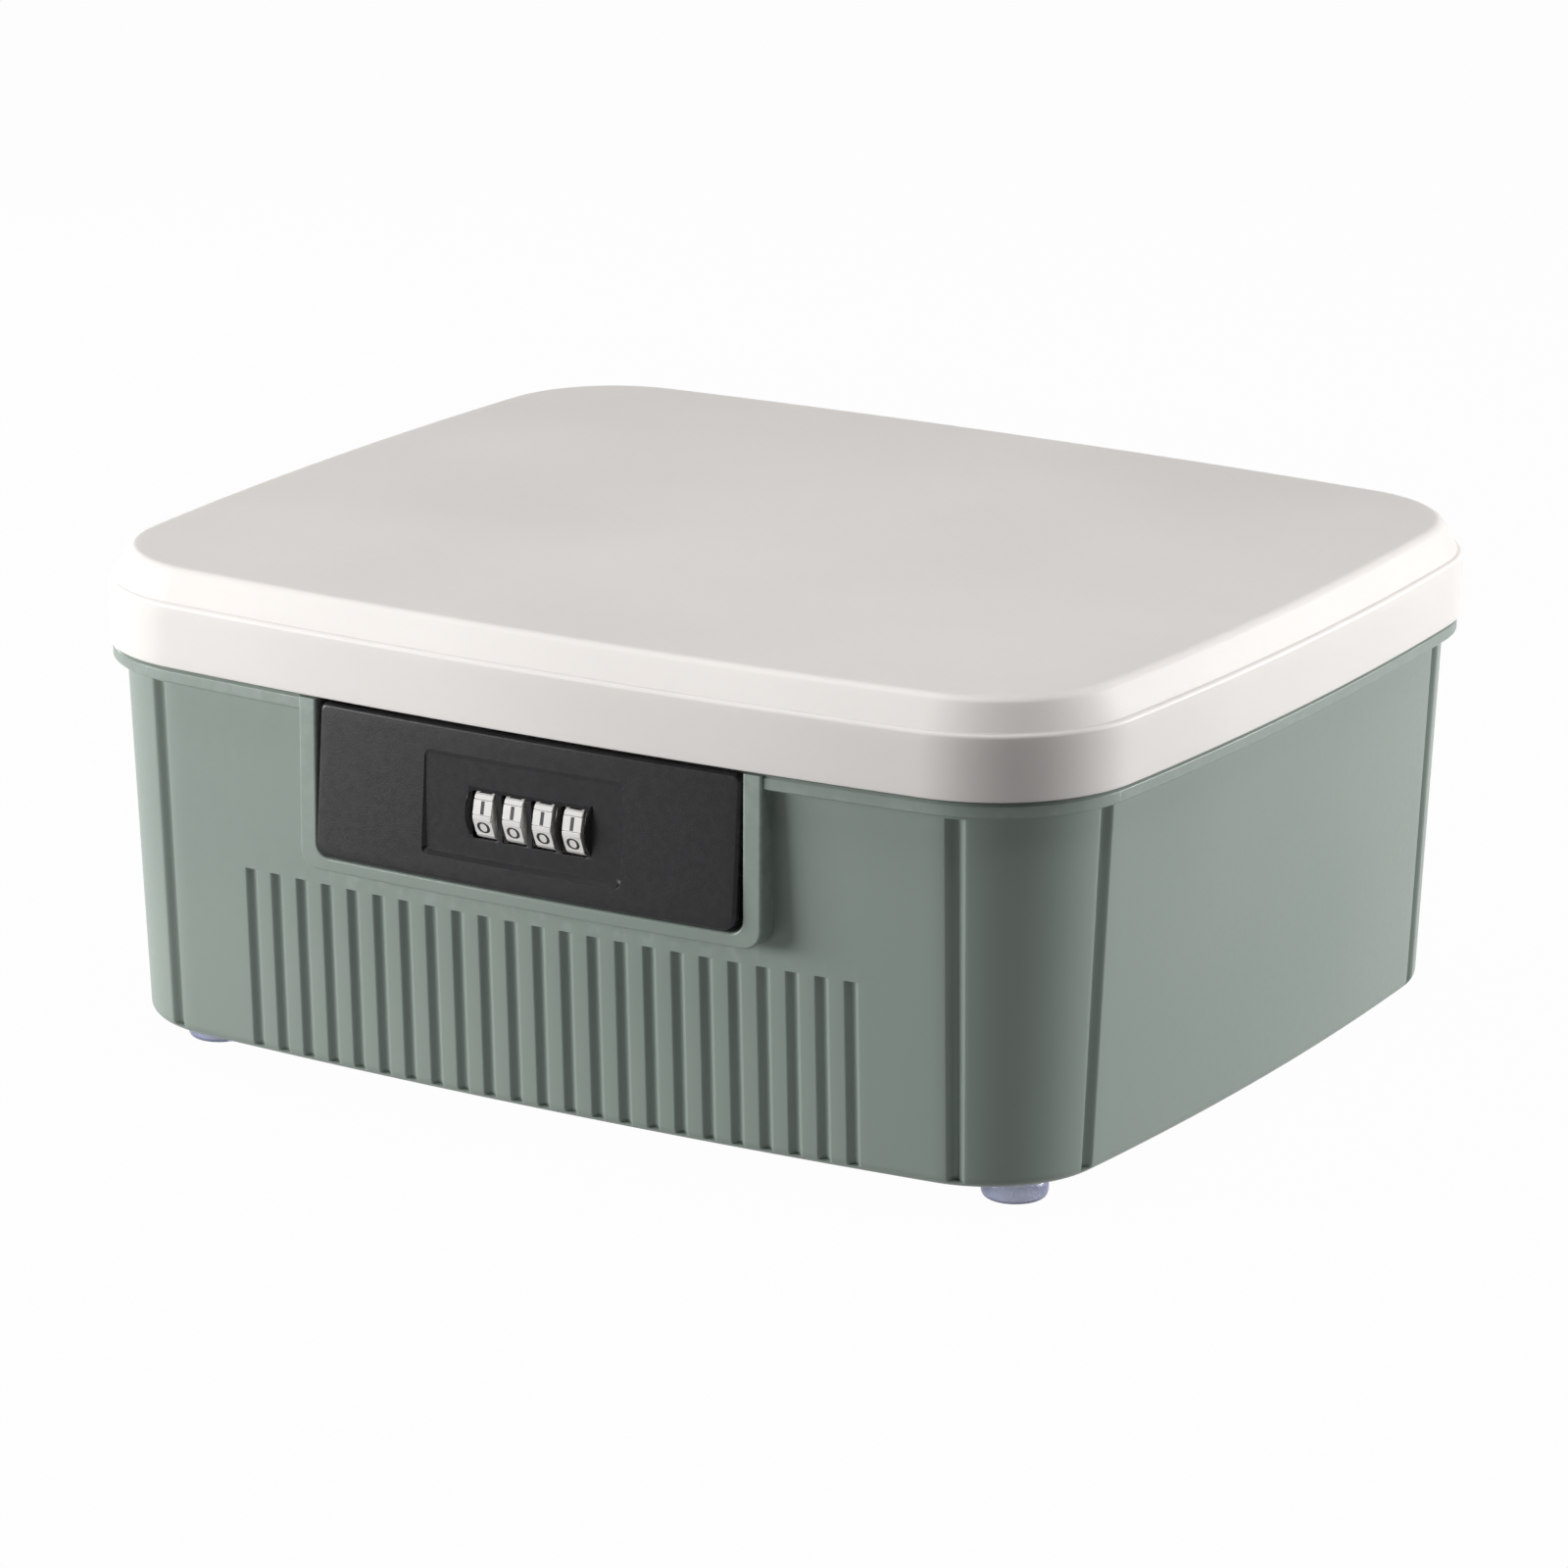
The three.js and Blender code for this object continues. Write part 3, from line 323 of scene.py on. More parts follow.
class Form:
    """Points in millimetres and faces, gathered for one piece."""

    def __init__(self) -> None:
        """Starts an empty form."""
        self.points: list[Point] = []
        self.faces: list[Sequence[int]] = []

    def add(self, points: Iterable[Point], faces: Iterable[Sequence[int]]) -> int:
        """Adds points and the faces between them.

        Args:
            points: the points.
            faces: for each face the numbers of its points, counted from 0.

        Returns:
            The index of the first point added.
        """
        start = len(self.points)
        self.points.extend(tuple(p) for p in points)
        self.faces.extend([i + start for i in face] for face in faces)
        return start

    @staticmethod
    def bands(levels: int, count: int) -> list[Sequence[int]]:
        """The point numbers of each face between rings of equal length."""
        return [(level * count + i, level * count + (i + 1) % count, (level + 1) * count + (i + 1) % count,
                 (level + 1) * count + i) for level in range(levels) for i in range(count)]

    def loft(self, rings: Sequence[Sequence[Point]], closed: bool = True) -> int:
        """Adds a skin through rings of equal length.

        Args:
            rings: the points of each ring.
            closed: also adds a flat end at the first and the last ring.

        Returns:
            The index of the first point added.
        """
        count = len(rings[0])
        faces = self.bands(len(rings) - 1, count)
        if closed:
            faces.append(tuple(reversed(range(count))))
            faces.append(tuple(range((len(rings) - 1) * count, len(rings) * count)))
        return self.add([p for ring in rings for p in ring], faces)

    def prism_x(self, section: Sequence[Pair], middle: float, width: float) -> None:
        """Adds a Y and Z section, extruded along X about a middle."""
        ends = (middle - width / 2, middle + width / 2)
        self.loft([[(x, y, z) for y, z in section] for x in ends])

    def prism_y(self, section: Sequence[Pair], front: float, back: float) -> None:
        """Adds an X and Z section, extruded from a front to a back."""
        self.loft([[(x, y, z) for x, z in section] for y in (front, back)])

    def block(self, low: Point, high: Point) -> None:
        """Adds a block between two corners."""
        section = [(low[0], low[2]), (high[0], low[2]), (high[0], high[2]), (low[0], high[2])]
        self.prism_y(section, low[1], high[1])

    def turned(self, profile: Sequence[Pair], place: Callable[[float, float, float], Point],
               steps: int = 32) -> None:
        """Adds a turned solid.

        Args:
            profile: radius and distance along the axis of each station, ends not on the axis.
            place: puts two cross coordinates and the distance along the axis in the box's frame.
            steps: faces round the axis.
        """
        rings = []
        for radius, along in profile:
            angles = [2 * math.pi * i / steps for i in range(steps)]
            rings.append([place(radius * math.cos(a), radius * math.sin(a), along) for a in angles])
        self.loft(rings)

    def rod_y(self, y0: float, y1: float, x: float, z: float, radius: float) -> None:
        """Adds a rod along Y with eased ends.

        Args:
            y0: first end.
            y1: second end.
            x: place of its axis.
            z: height of its axis.
            radius: radius of the rod.
        """
        round_off = 0.3
        profile = [(radius - round_off, y0), (radius, y0 + round_off), (radius, y1 - round_off),
                   (radius - round_off, y1)]
        self.turned(profile, lambda u, v, w: (x + u, w, z + v))

    def piece(self, name: str) -> Piece:
        """Makes the form a mesh object in metres, with its faces pointing out.

        Args:
            name: name of the piece.

        Returns:
            The new object, at the origin.
        """
        mesh = bpy.data.meshes.new(name)
        metres = [(x * MM, (y + MIDDLE_Y) * MM, z * MM) for x, y, z in self.points]
        mesh.from_pydata(metres, [], self.faces)
        work = bmesh.new()
        work.from_mesh(mesh)
        bmesh.ops.remove_doubles(work, verts=work.verts, dist=MM / 1000)
        bmesh.ops.recalc_face_normals(work, faces=work.faces)
        work.to_mesh(mesh)
        work.free()
        return new_object(name, mesh)


def bake(piece: Piece) -> Piece:
    """Turns a piece and its modifiers into a plain mesh.

    Args:
        piece: the piece.

    Returns:
        The same piece, without modifiers.
    """
    graph = bpy.context.evaluated_depsgraph_get()
    baked = bpy.data.meshes.new_from_object(piece.evaluated_get(graph), depsgraph=graph)
    piece.modifiers.clear()
    piece.data = baked
    baked.name = piece.name
    return piece


def ease(piece: Piece, width: float = 0.0, sharp: float = 32.0) -> Piece:
    """Rounds a piece's edges and smooths its shading.

    Args:
        piece: the piece.
        width: width of the rounding in millimetres, or 0 for none.
        sharp: angle in degrees from which an edge is rounded or kept sharp.

    Returns:
        The same piece as a plain mesh.
    """
    for face in piece.data.polygons:
        face.use_smooth = True
    if width:
        rounding = piece.modifiers.new("edge rounding", "BEVEL")
        rounding.width = width * MM
        rounding.segments = 3
        rounding.limit_method = "ANGLE"
        rounding.angle_limit = math.radians(sharp)
        rounding.miter_outer = "MITER_ARC"
        bake(piece)
    piece.data.set_sharp_from_angle(angle=math.radians(sharp))
    smoothing = piece.modifiers.new("weighted shading", "WEIGHTED_NORMAL")
    smoothing.keep_sharp = True
    smoothing.weight = 60
    return bake(piece)


def seat(piece: Piece, body: str, slot: Slot, finish: Finish, replaced: Sequence[str] = ()) -> Piece:
    """Dresses a piece, lets it ride on its body and stand for CAD nodes.

    Args:
        piece: the piece.
        body: name of the body that carries it.
        slot: the record's material slot.
        finish: material of the piece.
        replaced: names of the nodes that it stands for.

    Returns:
        The same piece.
    """
    piece.data.materials.clear()
    piece.data.materials.append(finish)
    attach(piece, getattr(body, "value", body))
    if replaced:
        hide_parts(*replaced)
    LOG.info("%s: %d faces on %s", piece.name, len(piece.data.polygons), body)
    return piece


# Node trees

class Tree:
    """Short calls that add and link nodes of one tree."""

    def __init__(self, tree: NodeTree) -> None:
        """Keeps the tree that the calls work on."""
        self.tree = tree

    def node(self, kind: str, inputs: Optional[dict] = None, **settings) -> Node:
        """Adds a node.

        Args:
            kind: type of the node.
            inputs: socket name or number to a value or to another node's output.
            settings: the node's own settings.

        Returns:
            The node.
        """
        node = self.tree.nodes.new(kind)
        for key, value in settings.items():
            setattr(node, key, value)
        self.fill(node, inputs or {})
        return node

    def fill(self, node: Node, inputs: dict) -> None:
        """Links or sets inputs of a node."""
        for key, value in inputs.items():
            self.feed(node.inputs[key], value)

    def feed(self, socket: Socket, value: Value) -> None:
        """Links a socket to an output, or sets its value."""
        if isinstance(value, Socket):
            self.tree.links.new(value, socket)
        else:
            socket.default_value = value

    def math(self, operation: str, *values: Value) -> Socket:
        """Output of a maths node."""
        return self.node("ShaderNodeMath", dict(enumerate(values)), operation=operation).outputs[0]

    def place(self) -> Socket:
        """Output that gives the place on the piece itself."""
        return self.node("ShaderNodeTexCoord").outputs["Object"]

    def noise(self, place: Socket, scale: Value, detail: float) -> Socket:
        """Output of a cloudy noise over a place."""
        return self.node("ShaderNodeTexNoise", {"Vector": place, "Scale": scale, "Detail": detail}).outputs[0]

    def effect(self, group: NodeTree, **inputs: Value) -> bpy.types.bpy_prop_collection:
        """Outputs of a shader group that is given its own values."""
        return self.node("ShaderNodeGroup", inputs, node_tree=group).outputs

    def put_out(self, geometry: Socket, finish: Socket, end: Node) -> None:
        """Makes instances real, dresses them and sends them to the tree's output.

        Args:
            geometry: output with the geometry.
            finish: output with the material.
            end: the output node of the tree.
        """
        whole = self.node("GeometryNodeRealizeInstances", {0: geometry})
        dressed = self.node("GeometryNodeSetMaterial", {"Geometry": whole.outputs[0], "Material": finish})
        self.feed(end.inputs["Geometry"], dressed.outputs[0])

    def ramp(self, value: Value, low: Value, high: Value, start: Value = 0.0, end: Value = 1.0,
             smooth: bool = True) -> Socket:
        """Output that runs from one number to another as a value goes through a range.

        Args:
            value: the value.
            low: first end of its range.
            high: second end of its range.
            start: what comes out at the first end.
            end: what comes out at the second end.
            smooth: eases both ends.

        Returns:
            The output.
        """
        kind = "SMOOTHSTEP" if smooth else "LINEAR"
        node = self.node("ShaderNodeMapRange", interpolation_type=kind)
        self.fill(node, {"Value": value, "From Min": low, "From Max": high, "To Min": start, "To Max": end})
        return node.outputs[0]

    def mix(self, amount: Value, first: Value, second: Value) -> Socket:
        """Colour output that goes from one colour to another.

        Args:
            amount: share of the second colour.
            first: the first colour.
            second: the second colour.

        Returns:
            The output.
        """
        node = self.node("ShaderNodeMix", data_type="RGBA")
        for name, item in (("Factor_Float", amount), ("A_Color", first), ("B_Color", second)):
            self.feed(next(s for s in node.inputs if s.identifier == name), item)
        return next(s for s in node.outputs if s.identifier == "Result_Color")


class Kind(str, Enum):
    """Kinds of socket."""

    NUMBER = "NodeSocketFloat"
    COUNT = "NodeSocketInt"
    PLACE = "NodeSocketVector"
    GEOMETRY = "NodeSocketGeometry"
    FINISH = "NodeSocketMaterial"
    OBJECT = "NodeSocketObject"


def new_group(name: str, kind: str, inputs: dict, outputs: dict) -> tuple[Tree, dict, Node]:
    """A node group with named sockets.

    Args:
        name: name of the group.
        kind: ShaderNodeTree or GeometryNodeTree.
        inputs: for each input its name, and its kind or its default number.
        outputs: for each output its name and its kind.

    Returns:
        The tree, its inputs by name, and its output node.
    """
    group = bpy.data.node_groups.new(name, kind)
    for way, sockets in (("INPUT", inputs), ("OUTPUT", outputs)):
        for title, given in sockets.items():
            number = Kind.COUNT if isinstance(given, int) else Kind.NUMBER
            sort = given if isinstance(given, Kind) else number
            socket = group.interface.new_socket(name=title, in_out=way, socket_type=sort.value)
            if sort is not given:
                socket.default_value = given
    tree = Tree(group)
    start = tree.node("NodeGroupInput")
    end = tree.node("NodeGroupOutput")
    return tree, {s.name: s for s in start.outputs if s.name}, end


def colour(code: str) -> tuple[float, float, float, float]:
    """Linear colour from a hexadecimal sRGB code.

    Args:
        code: two digits each for red, green and blue.

    Returns:
        Red, green, blue and a full alpha.
    """
    values = [int(code[i:i + 2], 16) / 255 for i in (0, 2, 4)]
    linear = [v / 12.92 if v <= 0.04045 else ((v + 0.055) / 1.055) ** 2.4 for v in values]
    return (*linear, 1.0)


class SurfaceEffects:
    """Shader groups that more than one finish uses."""

    def __init__(self) -> None:
        """Builds the groups."""
        self.grain = self._grain()
        self.drift = self._drift()
        self.rub = self._rub()
        self.dust = self._dust()
        self.brushing = self._brushing()

    @staticmethod
    def _grain() -> NodeTree:
        """Fine texture of a spark-eroded mould."""
        tree, given, end = new_group("Mould Grain", "ShaderNodeTree", {"Size": 0.0003}, {
            "Height": Kind.NUMBER, "Speckle": Kind.NUMBER})
        coarse_scale = 0.18
        coarse_height = 0.4
        place = tree.place()
        scale = tree.math("DIVIDE", 1.0, given["Size"])
        fine = tree.noise(place, scale, 3.0)
        coarse = tree.noise(place, tree.math("MULTIPLY", scale, coarse_scale), 2.0)
        tree.feed(end.inputs["Height"], tree.math("MULTIPLY_ADD", coarse, coarse_height, fine))
        tree.feed(end.inputs["Speckle"], tree.ramp(coarse, 0.3, 0.7))
        return tree.tree

    @staticmethod
    def _drift() -> NodeTree:
        """Slow change of colour over a large moulding."""
        tree, given, end = new_group("Colour Drift", "ShaderNodeTree", {"Size": 0.09}, {
            "Amount": Kind.NUMBER})
        cloud = tree.noise(tree.place(), tree.math("DIVIDE", 1.0, given["Size"]), 1.5)
        tree.feed(end.inputs["Amount"], tree.ramp(cloud, 0.25, 0.75))
        return tree.tree

    @staticmethod
    def _rub() -> NodeTree:
        """Lighter colour along outer edges, broken up by noise: partly wear, partly a painted highlight
        standing in for the light lines that edges catch.
        """
        tree, given, end = new_group("Edge Rub", "ShaderNodeTree", {"Strength": 0.5}, {"Mask": Kind.NUMBER})
        patches_per_metre = 260.0
        corner = tree.node("ShaderNodeNewGeometry").outputs["Pointiness"]
        edge = tree.ramp(corner, 0.515, 0.6)
        patch = tree.noise(tree.place(), patches_per_metre, 4.0)
        broken = tree.math("MULTIPLY", edge, tree.ramp(patch, 0.4, 0.65))
        tree.feed(end.inputs["Mask"], tree.math("MULTIPLY", broken, given["Strength"]))
        return tree.tree

    @staticmethod
    def _dust() -> NodeTree:
        """Thin dust on what faces up."""
        tree, given, end = new_group("Settled Dust", "ShaderNodeTree", {"Strength": 0.1}, {
            "Mask": Kind.NUMBER})
        clouds_per_metre = 35.0
        facing = tree.node("ShaderNodeNewGeometry").outputs["Normal"]
        upward = tree.node("ShaderNodeSeparateXYZ", {0: facing}).outputs["Z"]
        lying = tree.ramp(upward, 0.5, 1.0)
        cloud = tree.noise(tree.place(), clouds_per_metre, 6.0)
        patchy = tree.math("MULTIPLY", lying, tree.ramp(cloud, 0.35, 0.8))
        tree.feed(end.inputs["Mask"], tree.math("MULTIPLY", patchy, given["Strength"]))
        return tree.tree

    @staticmethod
    def _brushing() -> NodeTree:
        """Fine lines along X, as rolling or drawing leaves on metal."""
        tree, given, end = new_group("Drawn Lines", "ShaderNodeTree", {"Fineness": 4000.0}, {
            "Lines": Kind.NUMBER})
        along_lines = 0.03
        stretch = tree.node("ShaderNodeMapping", {"Vector": tree.place(), "Scale": (along_lines, 1.0, 1.0)})
        tree.feed(end.inputs["Lines"], tree.noise(stretch.outputs[0], given["Fineness"], 2.0))
        return tree.tree


EFFECTS = SurfaceEffects()


def new_material(name: str) -> tuple[Finish, Tree, Node]:
    """An empty material with its Principled shader.

    Args:
        name: name of the material.

    Returns:
        The material, its node tree and the shader.
    """
    material = bpy.data.materials.new(name)
    material.use_nodes = True
    return material, Tree(material.node_tree), material.node_tree.nodes["Principled BSDF"]


@dataclass(frozen=True)
class MouldedPlastic:
    """A satin moulded plastic.

    Args:
        name: name of the finish.
        base: colour code.
        shade: colour code that the base drifts towards.
        worn: colour code of the lighter edges, which are partly wear and partly a painted highlight.
        roughness: middle roughness.
        grain: size of the mould's grain in metres.
        relief: strength of the grain's bump.
        rubbed: strength of the lighter edges, which are partly wear and partly a painted highlight.
        dusty: strength of the dust.
        gloss: specular level.
        coat: weight of a clear coat.
        glow: share of the light that spreads below the surface.
        speckle: how far the grain changes the roughness.
        dulling: how far the dust raises the roughness.
        glow_reach: how far red, green and blue light spread, as shares of the glow's depth.
        glow_depth: depth of that spread in metres.
    """

    name: str
    base: str
    shade: str
    worn: str
    roughness: float = 0.42
    grain: float = 0.00035
    relief: float = 0.12
    rubbed: float = 0.35
    dusty: float = 0.08
    gloss: float = 0.5
    coat: float = 0.0
    glow: float = 0.0
    speckle: float = 0.07
    dulling: float = 0.4
    glow_reach: Point = (1.0, 0.9, 0.8)
    glow_depth: float = 0.006

    def build(self) -> Finish:
        """Builds the material."""
        material, tree, shader = new_material(self.name)
        grain = tree.effect(EFFECTS.grain, Size=self.grain)
        drift = tree.effect(EFFECTS.drift)
        # Edges found by pointiness are lightened: partly wear, partly a painted highlight for the light lines
        # along edges.
        rub = tree.effect(EFFECTS.rub, Strength=self.rubbed)
        dust = tree.effect(EFFECTS.dust, Strength=self.dusty)
        tone = tree.mix(drift["Amount"], colour(self.base), colour(self.shade))
        tone = tree.mix(rub["Mask"], tone, colour(self.worn))
        tone = tree.mix(dust["Mask"], tone, colour(DUST))
        smoothest = self.roughness - self.speckle / 2
        speckled = tree.math("MULTIPLY_ADD", grain["Speckle"], self.speckle, smoothest)
        rough = tree.math("MULTIPLY_ADD", dust["Mask"], self.dulling, speckled)
        bump = tree.node("ShaderNodeBump", {
            "Strength": self.relief, "Distance": self.grain * 0.4, "Height": grain["Height"]})
        tree.fill(shader, {"Base Color": tone, "Roughness": rough, "Normal": bump.outputs[0],
                           "Specular IOR Level": self.gloss, "Coat Weight": self.coat})
        if self.glow:
            tree.fill(shader, {"Subsurface Weight": self.glow, "Subsurface Radius": self.glow_reach,
                               "Subsurface Scale": self.glow_depth})
        return material


@dataclass(frozen=True)
class Metal:
    """A plain metal with drawn lines.

    Args:
        name: name of the finish.
        bright: colour code of the clean metal.
        dull: colour code of its tarnish.
        roughness: middle roughness.
        streaks: how far the lines change the roughness.
        patch: size of the tarnished patches in metres.
        line_depth: depth of the lines in metres.
    """

    name: str
    bright: str
    dull: str
    roughness: float = 0.3
    streaks: float = 0.22
    patch: float = 0.006
    line_depth: float = 0.00005

    def build(self) -> Finish:
        """Builds the material."""
        material, tree, shader = new_material(self.name)
        lines = tree.effect(EFFECTS.brushing)["Lines"]
        drift = tree.effect(EFFECTS.drift, Size=self.patch)
        tone = tree.mix(drift["Amount"], colour(self.bright), colour(self.dull))
        rough = tree.math("MULTIPLY_ADD", lines, self.streaks, self.roughness - self.streaks / 2)
        bump = tree.node("ShaderNodeBump", {"Strength": 0.15, "Distance": self.line_depth, "Height": lines})
        tree.fill(shader, {"Base Color": tone, "Roughness": rough, "Normal": bump.outputs[0],
                           "Metallic": 1.0})
        return material


@dataclass(frozen=True)
class ClearRubber:
    """A soft see-through rubber with a cloudy body.

    Args:
        name: name of the finish.
        base: colour code.
        shade: colour code that the base drifts towards.
        cloud: size of the drift in metres.
        grain: size of the surface's grain in metres.
        clearness: share of the light that passes.
        bending: index of refraction.
        roughness: lowest roughness.
        speckle: how far the grain raises the roughness.
    """

    name: str = "clear blue rubber"
    base: str = "b4badb"
    shade: str = "a6adcf"
    cloud: float = 0.02
    grain: float = 0.0012
    clearness: float = 0.5
    bending: float = 1.43
    roughness: float = 0.24
    speckle: float = 0.05

    def build(self) -> Finish:
        """Builds the material."""
        material, tree, shader = new_material(self.name)
        drift = tree.effect(EFFECTS.drift, Size=self.cloud)
        grain = tree.effect(EFFECTS.grain, Size=self.grain)
        tone = tree.mix(drift["Amount"], colour(self.base), colour(self.shade))
        rough = tree.math("MULTIPLY_ADD", grain["Speckle"], self.speckle, self.roughness)
        bump = tree.node("ShaderNodeBump", {"Strength": 0.1, "Distance": 0.0002, "Height": grain["Height"]})
        tree.fill(shader, {"Base Color": tone, "Roughness": rough, "Normal": bump.outputs[0],
                           "Transmission Weight": self.clearness, "IOR": self.bending})
        return material


class Finishes:
    """Every finish of the box, built once."""

    def __init__(self) -> None:
        """Builds the materials."""
        green = MouldedPlastic("grey-green tub plastic", "8e9a92", "87948c", "abb4af", roughness=0.34)
        # The black's pale edge colour paints highlights along the flap's edges, besides wear.
        black = MouldedPlastic(
            "black flap plastic", "202022", "232325", "6d6c72", roughness=0.34, rubbed=0.5, gloss=0.25,
            relief=0.2, dusty=0.04)
        self.green = green.build()
        self.white = MouldedPlastic(
            "off-white lid plastic", "ece7e3", "e6e1dd", "f0edea", roughness=0.45, rubbed=0.15, gloss=0.4,
            dusty=0.04, glow=0.25).build()
        self.black = black.build()
        self.green_inner = replace(green, name="grey-green inner plastic", roughness=0.38, rubbed=0.0).build()
        self.black_inner = replace(
            black, name="black inner plastic", roughness=0.4, rubbed=0.0, gloss=0.3).build()
        self.dial = MouldedPlastic(
            "glossy code wheel plastic", "ecebe8", "e2e1de", "f6f5f3", roughness=0.2, relief=0.04,
            dusty=0.02, coat=0.4).build()
        self.ink = MouldedPlastic(
            "black figure ink", "101012", "17171a", "2a2a2c", roughness=0.5, rubbed=0.1,
            dusty=0.0).build()
        self.rubber = ClearRubber().build()
        self.steel = Metal("bright steel", "c4c5c7", "9c9da0").build()
        self.brass = Metal("plain brass", "c9a95e", "a3823f", roughness=0.34).build()


# Tub

def groove_tree() -> NodeTree:
    """Geometry nodes that press the ribs' and pillars' grooves into the tub's wall.

    Returns:
        The tree. It reads three attributes of the wall: the direction outwards, the distance
        along the front, and the distance from the nearest pillar's groove. A groove is deepest
        over the flat share of its half width, rises smoothly to its lips and runs out at its ends.
    """
    tree, given, end = new_group("Wall Grooves", "GeometryNodeTree", {
        "Geometry": Kind.GEOMETRY, "Rib Pitch": 0.008, "Rib Count": 23, "Rib Half Width": 0.002,
        "Rib Depth": 0.0015, "Rib Top": 0.058, "Pillar Half Width": 0.003, "Pillar Depth": 0.0016,
        "Pillar Top": 0.102, "Bottom": 0.01, "Run Out": 0.001, "Flat Share": 0.3,
        "Finish": Kind.FINISH}, {"Geometry": Kind.GEOMETRY})

    def attribute(name: str, kind: str) -> Socket:
        """An attribute of the wall."""
        node = tree.node("GeometryNodeInputNamedAttribute", {"Name": name}, data_type=kind)
        return node.outputs["Attribute"]

    def scooped(away: Socket, half: Socket,
                deep: Socket) -> Socket:
        """Depth of a groove at a distance from its middle."""
        flat = tree.math("MULTIPLY", half, given["Flat Share"])
        return tree.ramp(tree.math("ABSOLUTE", away), flat, half, deep, 0.0)

    outward = attribute("outward", "FLOAT_VECTOR")
    along = attribute("along_front", "FLOAT")
    place = tree.node("GeometryNodeInputPosition").outputs[0]
    height = tree.node("ShaderNodeSeparateXYZ", {0: place}).outputs["Z"]

    def stopped(depth: Socket, top: Socket) -> Socket:
        """The depth, ended at a height."""
        full = tree.math("SUBTRACT", top, given["Run Out"])
        return tree.math("MULTIPLY", depth, tree.ramp(height, full, top, 1.0, 0.0, smooth=False))

    half = tree.math("MULTIPLY", given["Rib Pitch"], 0.5)
    low = tree.math("MULTIPLY", given["Rib Pitch"], -0.5)
    across = tree.math("WRAP", along, half, low)
    rib = scooped(across, given["Rib Half Width"], given["Rib Depth"])
    reach = tree.math("MULTIPLY", half, given["Rib Count"])
    rib = tree.math("MULTIPLY", rib, tree.math("LESS_THAN", tree.math("ABSOLUTE", along), reach))
    rib = stopped(rib, given["Rib Top"])
    pillar = scooped(attribute("from_pillar", "FLOAT"), given["Pillar Half Width"], given["Pillar Depth"])
    pillar = stopped(pillar, given["Pillar Top"])
    bottom_stop = tree.math("ADD", given["Bottom"], given["Run Out"])
    depth = tree.math("MULTIPLY", tree.math("MAXIMUM", rib, pillar),
                      tree.ramp(height, given["Bottom"], bottom_stop, smooth=False))
    inwards = tree.math("MULTIPLY", depth, -1.0)
    offset = tree.node("ShaderNodeVectorMath", {0: outward, "Scale": inwards}, operation="SCALE")
    pressed = tree.node("GeometryNodeSetPosition", {
        "Geometry": given["Geometry"], "Offset": offset.outputs[0]})
    tree.put_out(pressed.outputs[0], given["Finish"], end)
    return tree.tree


def run_tree(piece: Piece, tree: NodeTree, values: dict) -> Piece:
    """Runs geometry nodes on a piece and keeps the result as a plain mesh.

    Args:
        piece: the piece.
        tree: the geometry node tree.
        values: input name to value.

    Returns:
        The same piece.
    """
    step = piece.modifiers.new(tree.name, "NODES")
    step.node_group = tree
    for item in tree.interface.items_tree:
        if item.item_type == "SOCKET" and item.in_out == "INPUT" and item.name in values:
            step[item.identifier] = values[item.name]
    return bake(piece)


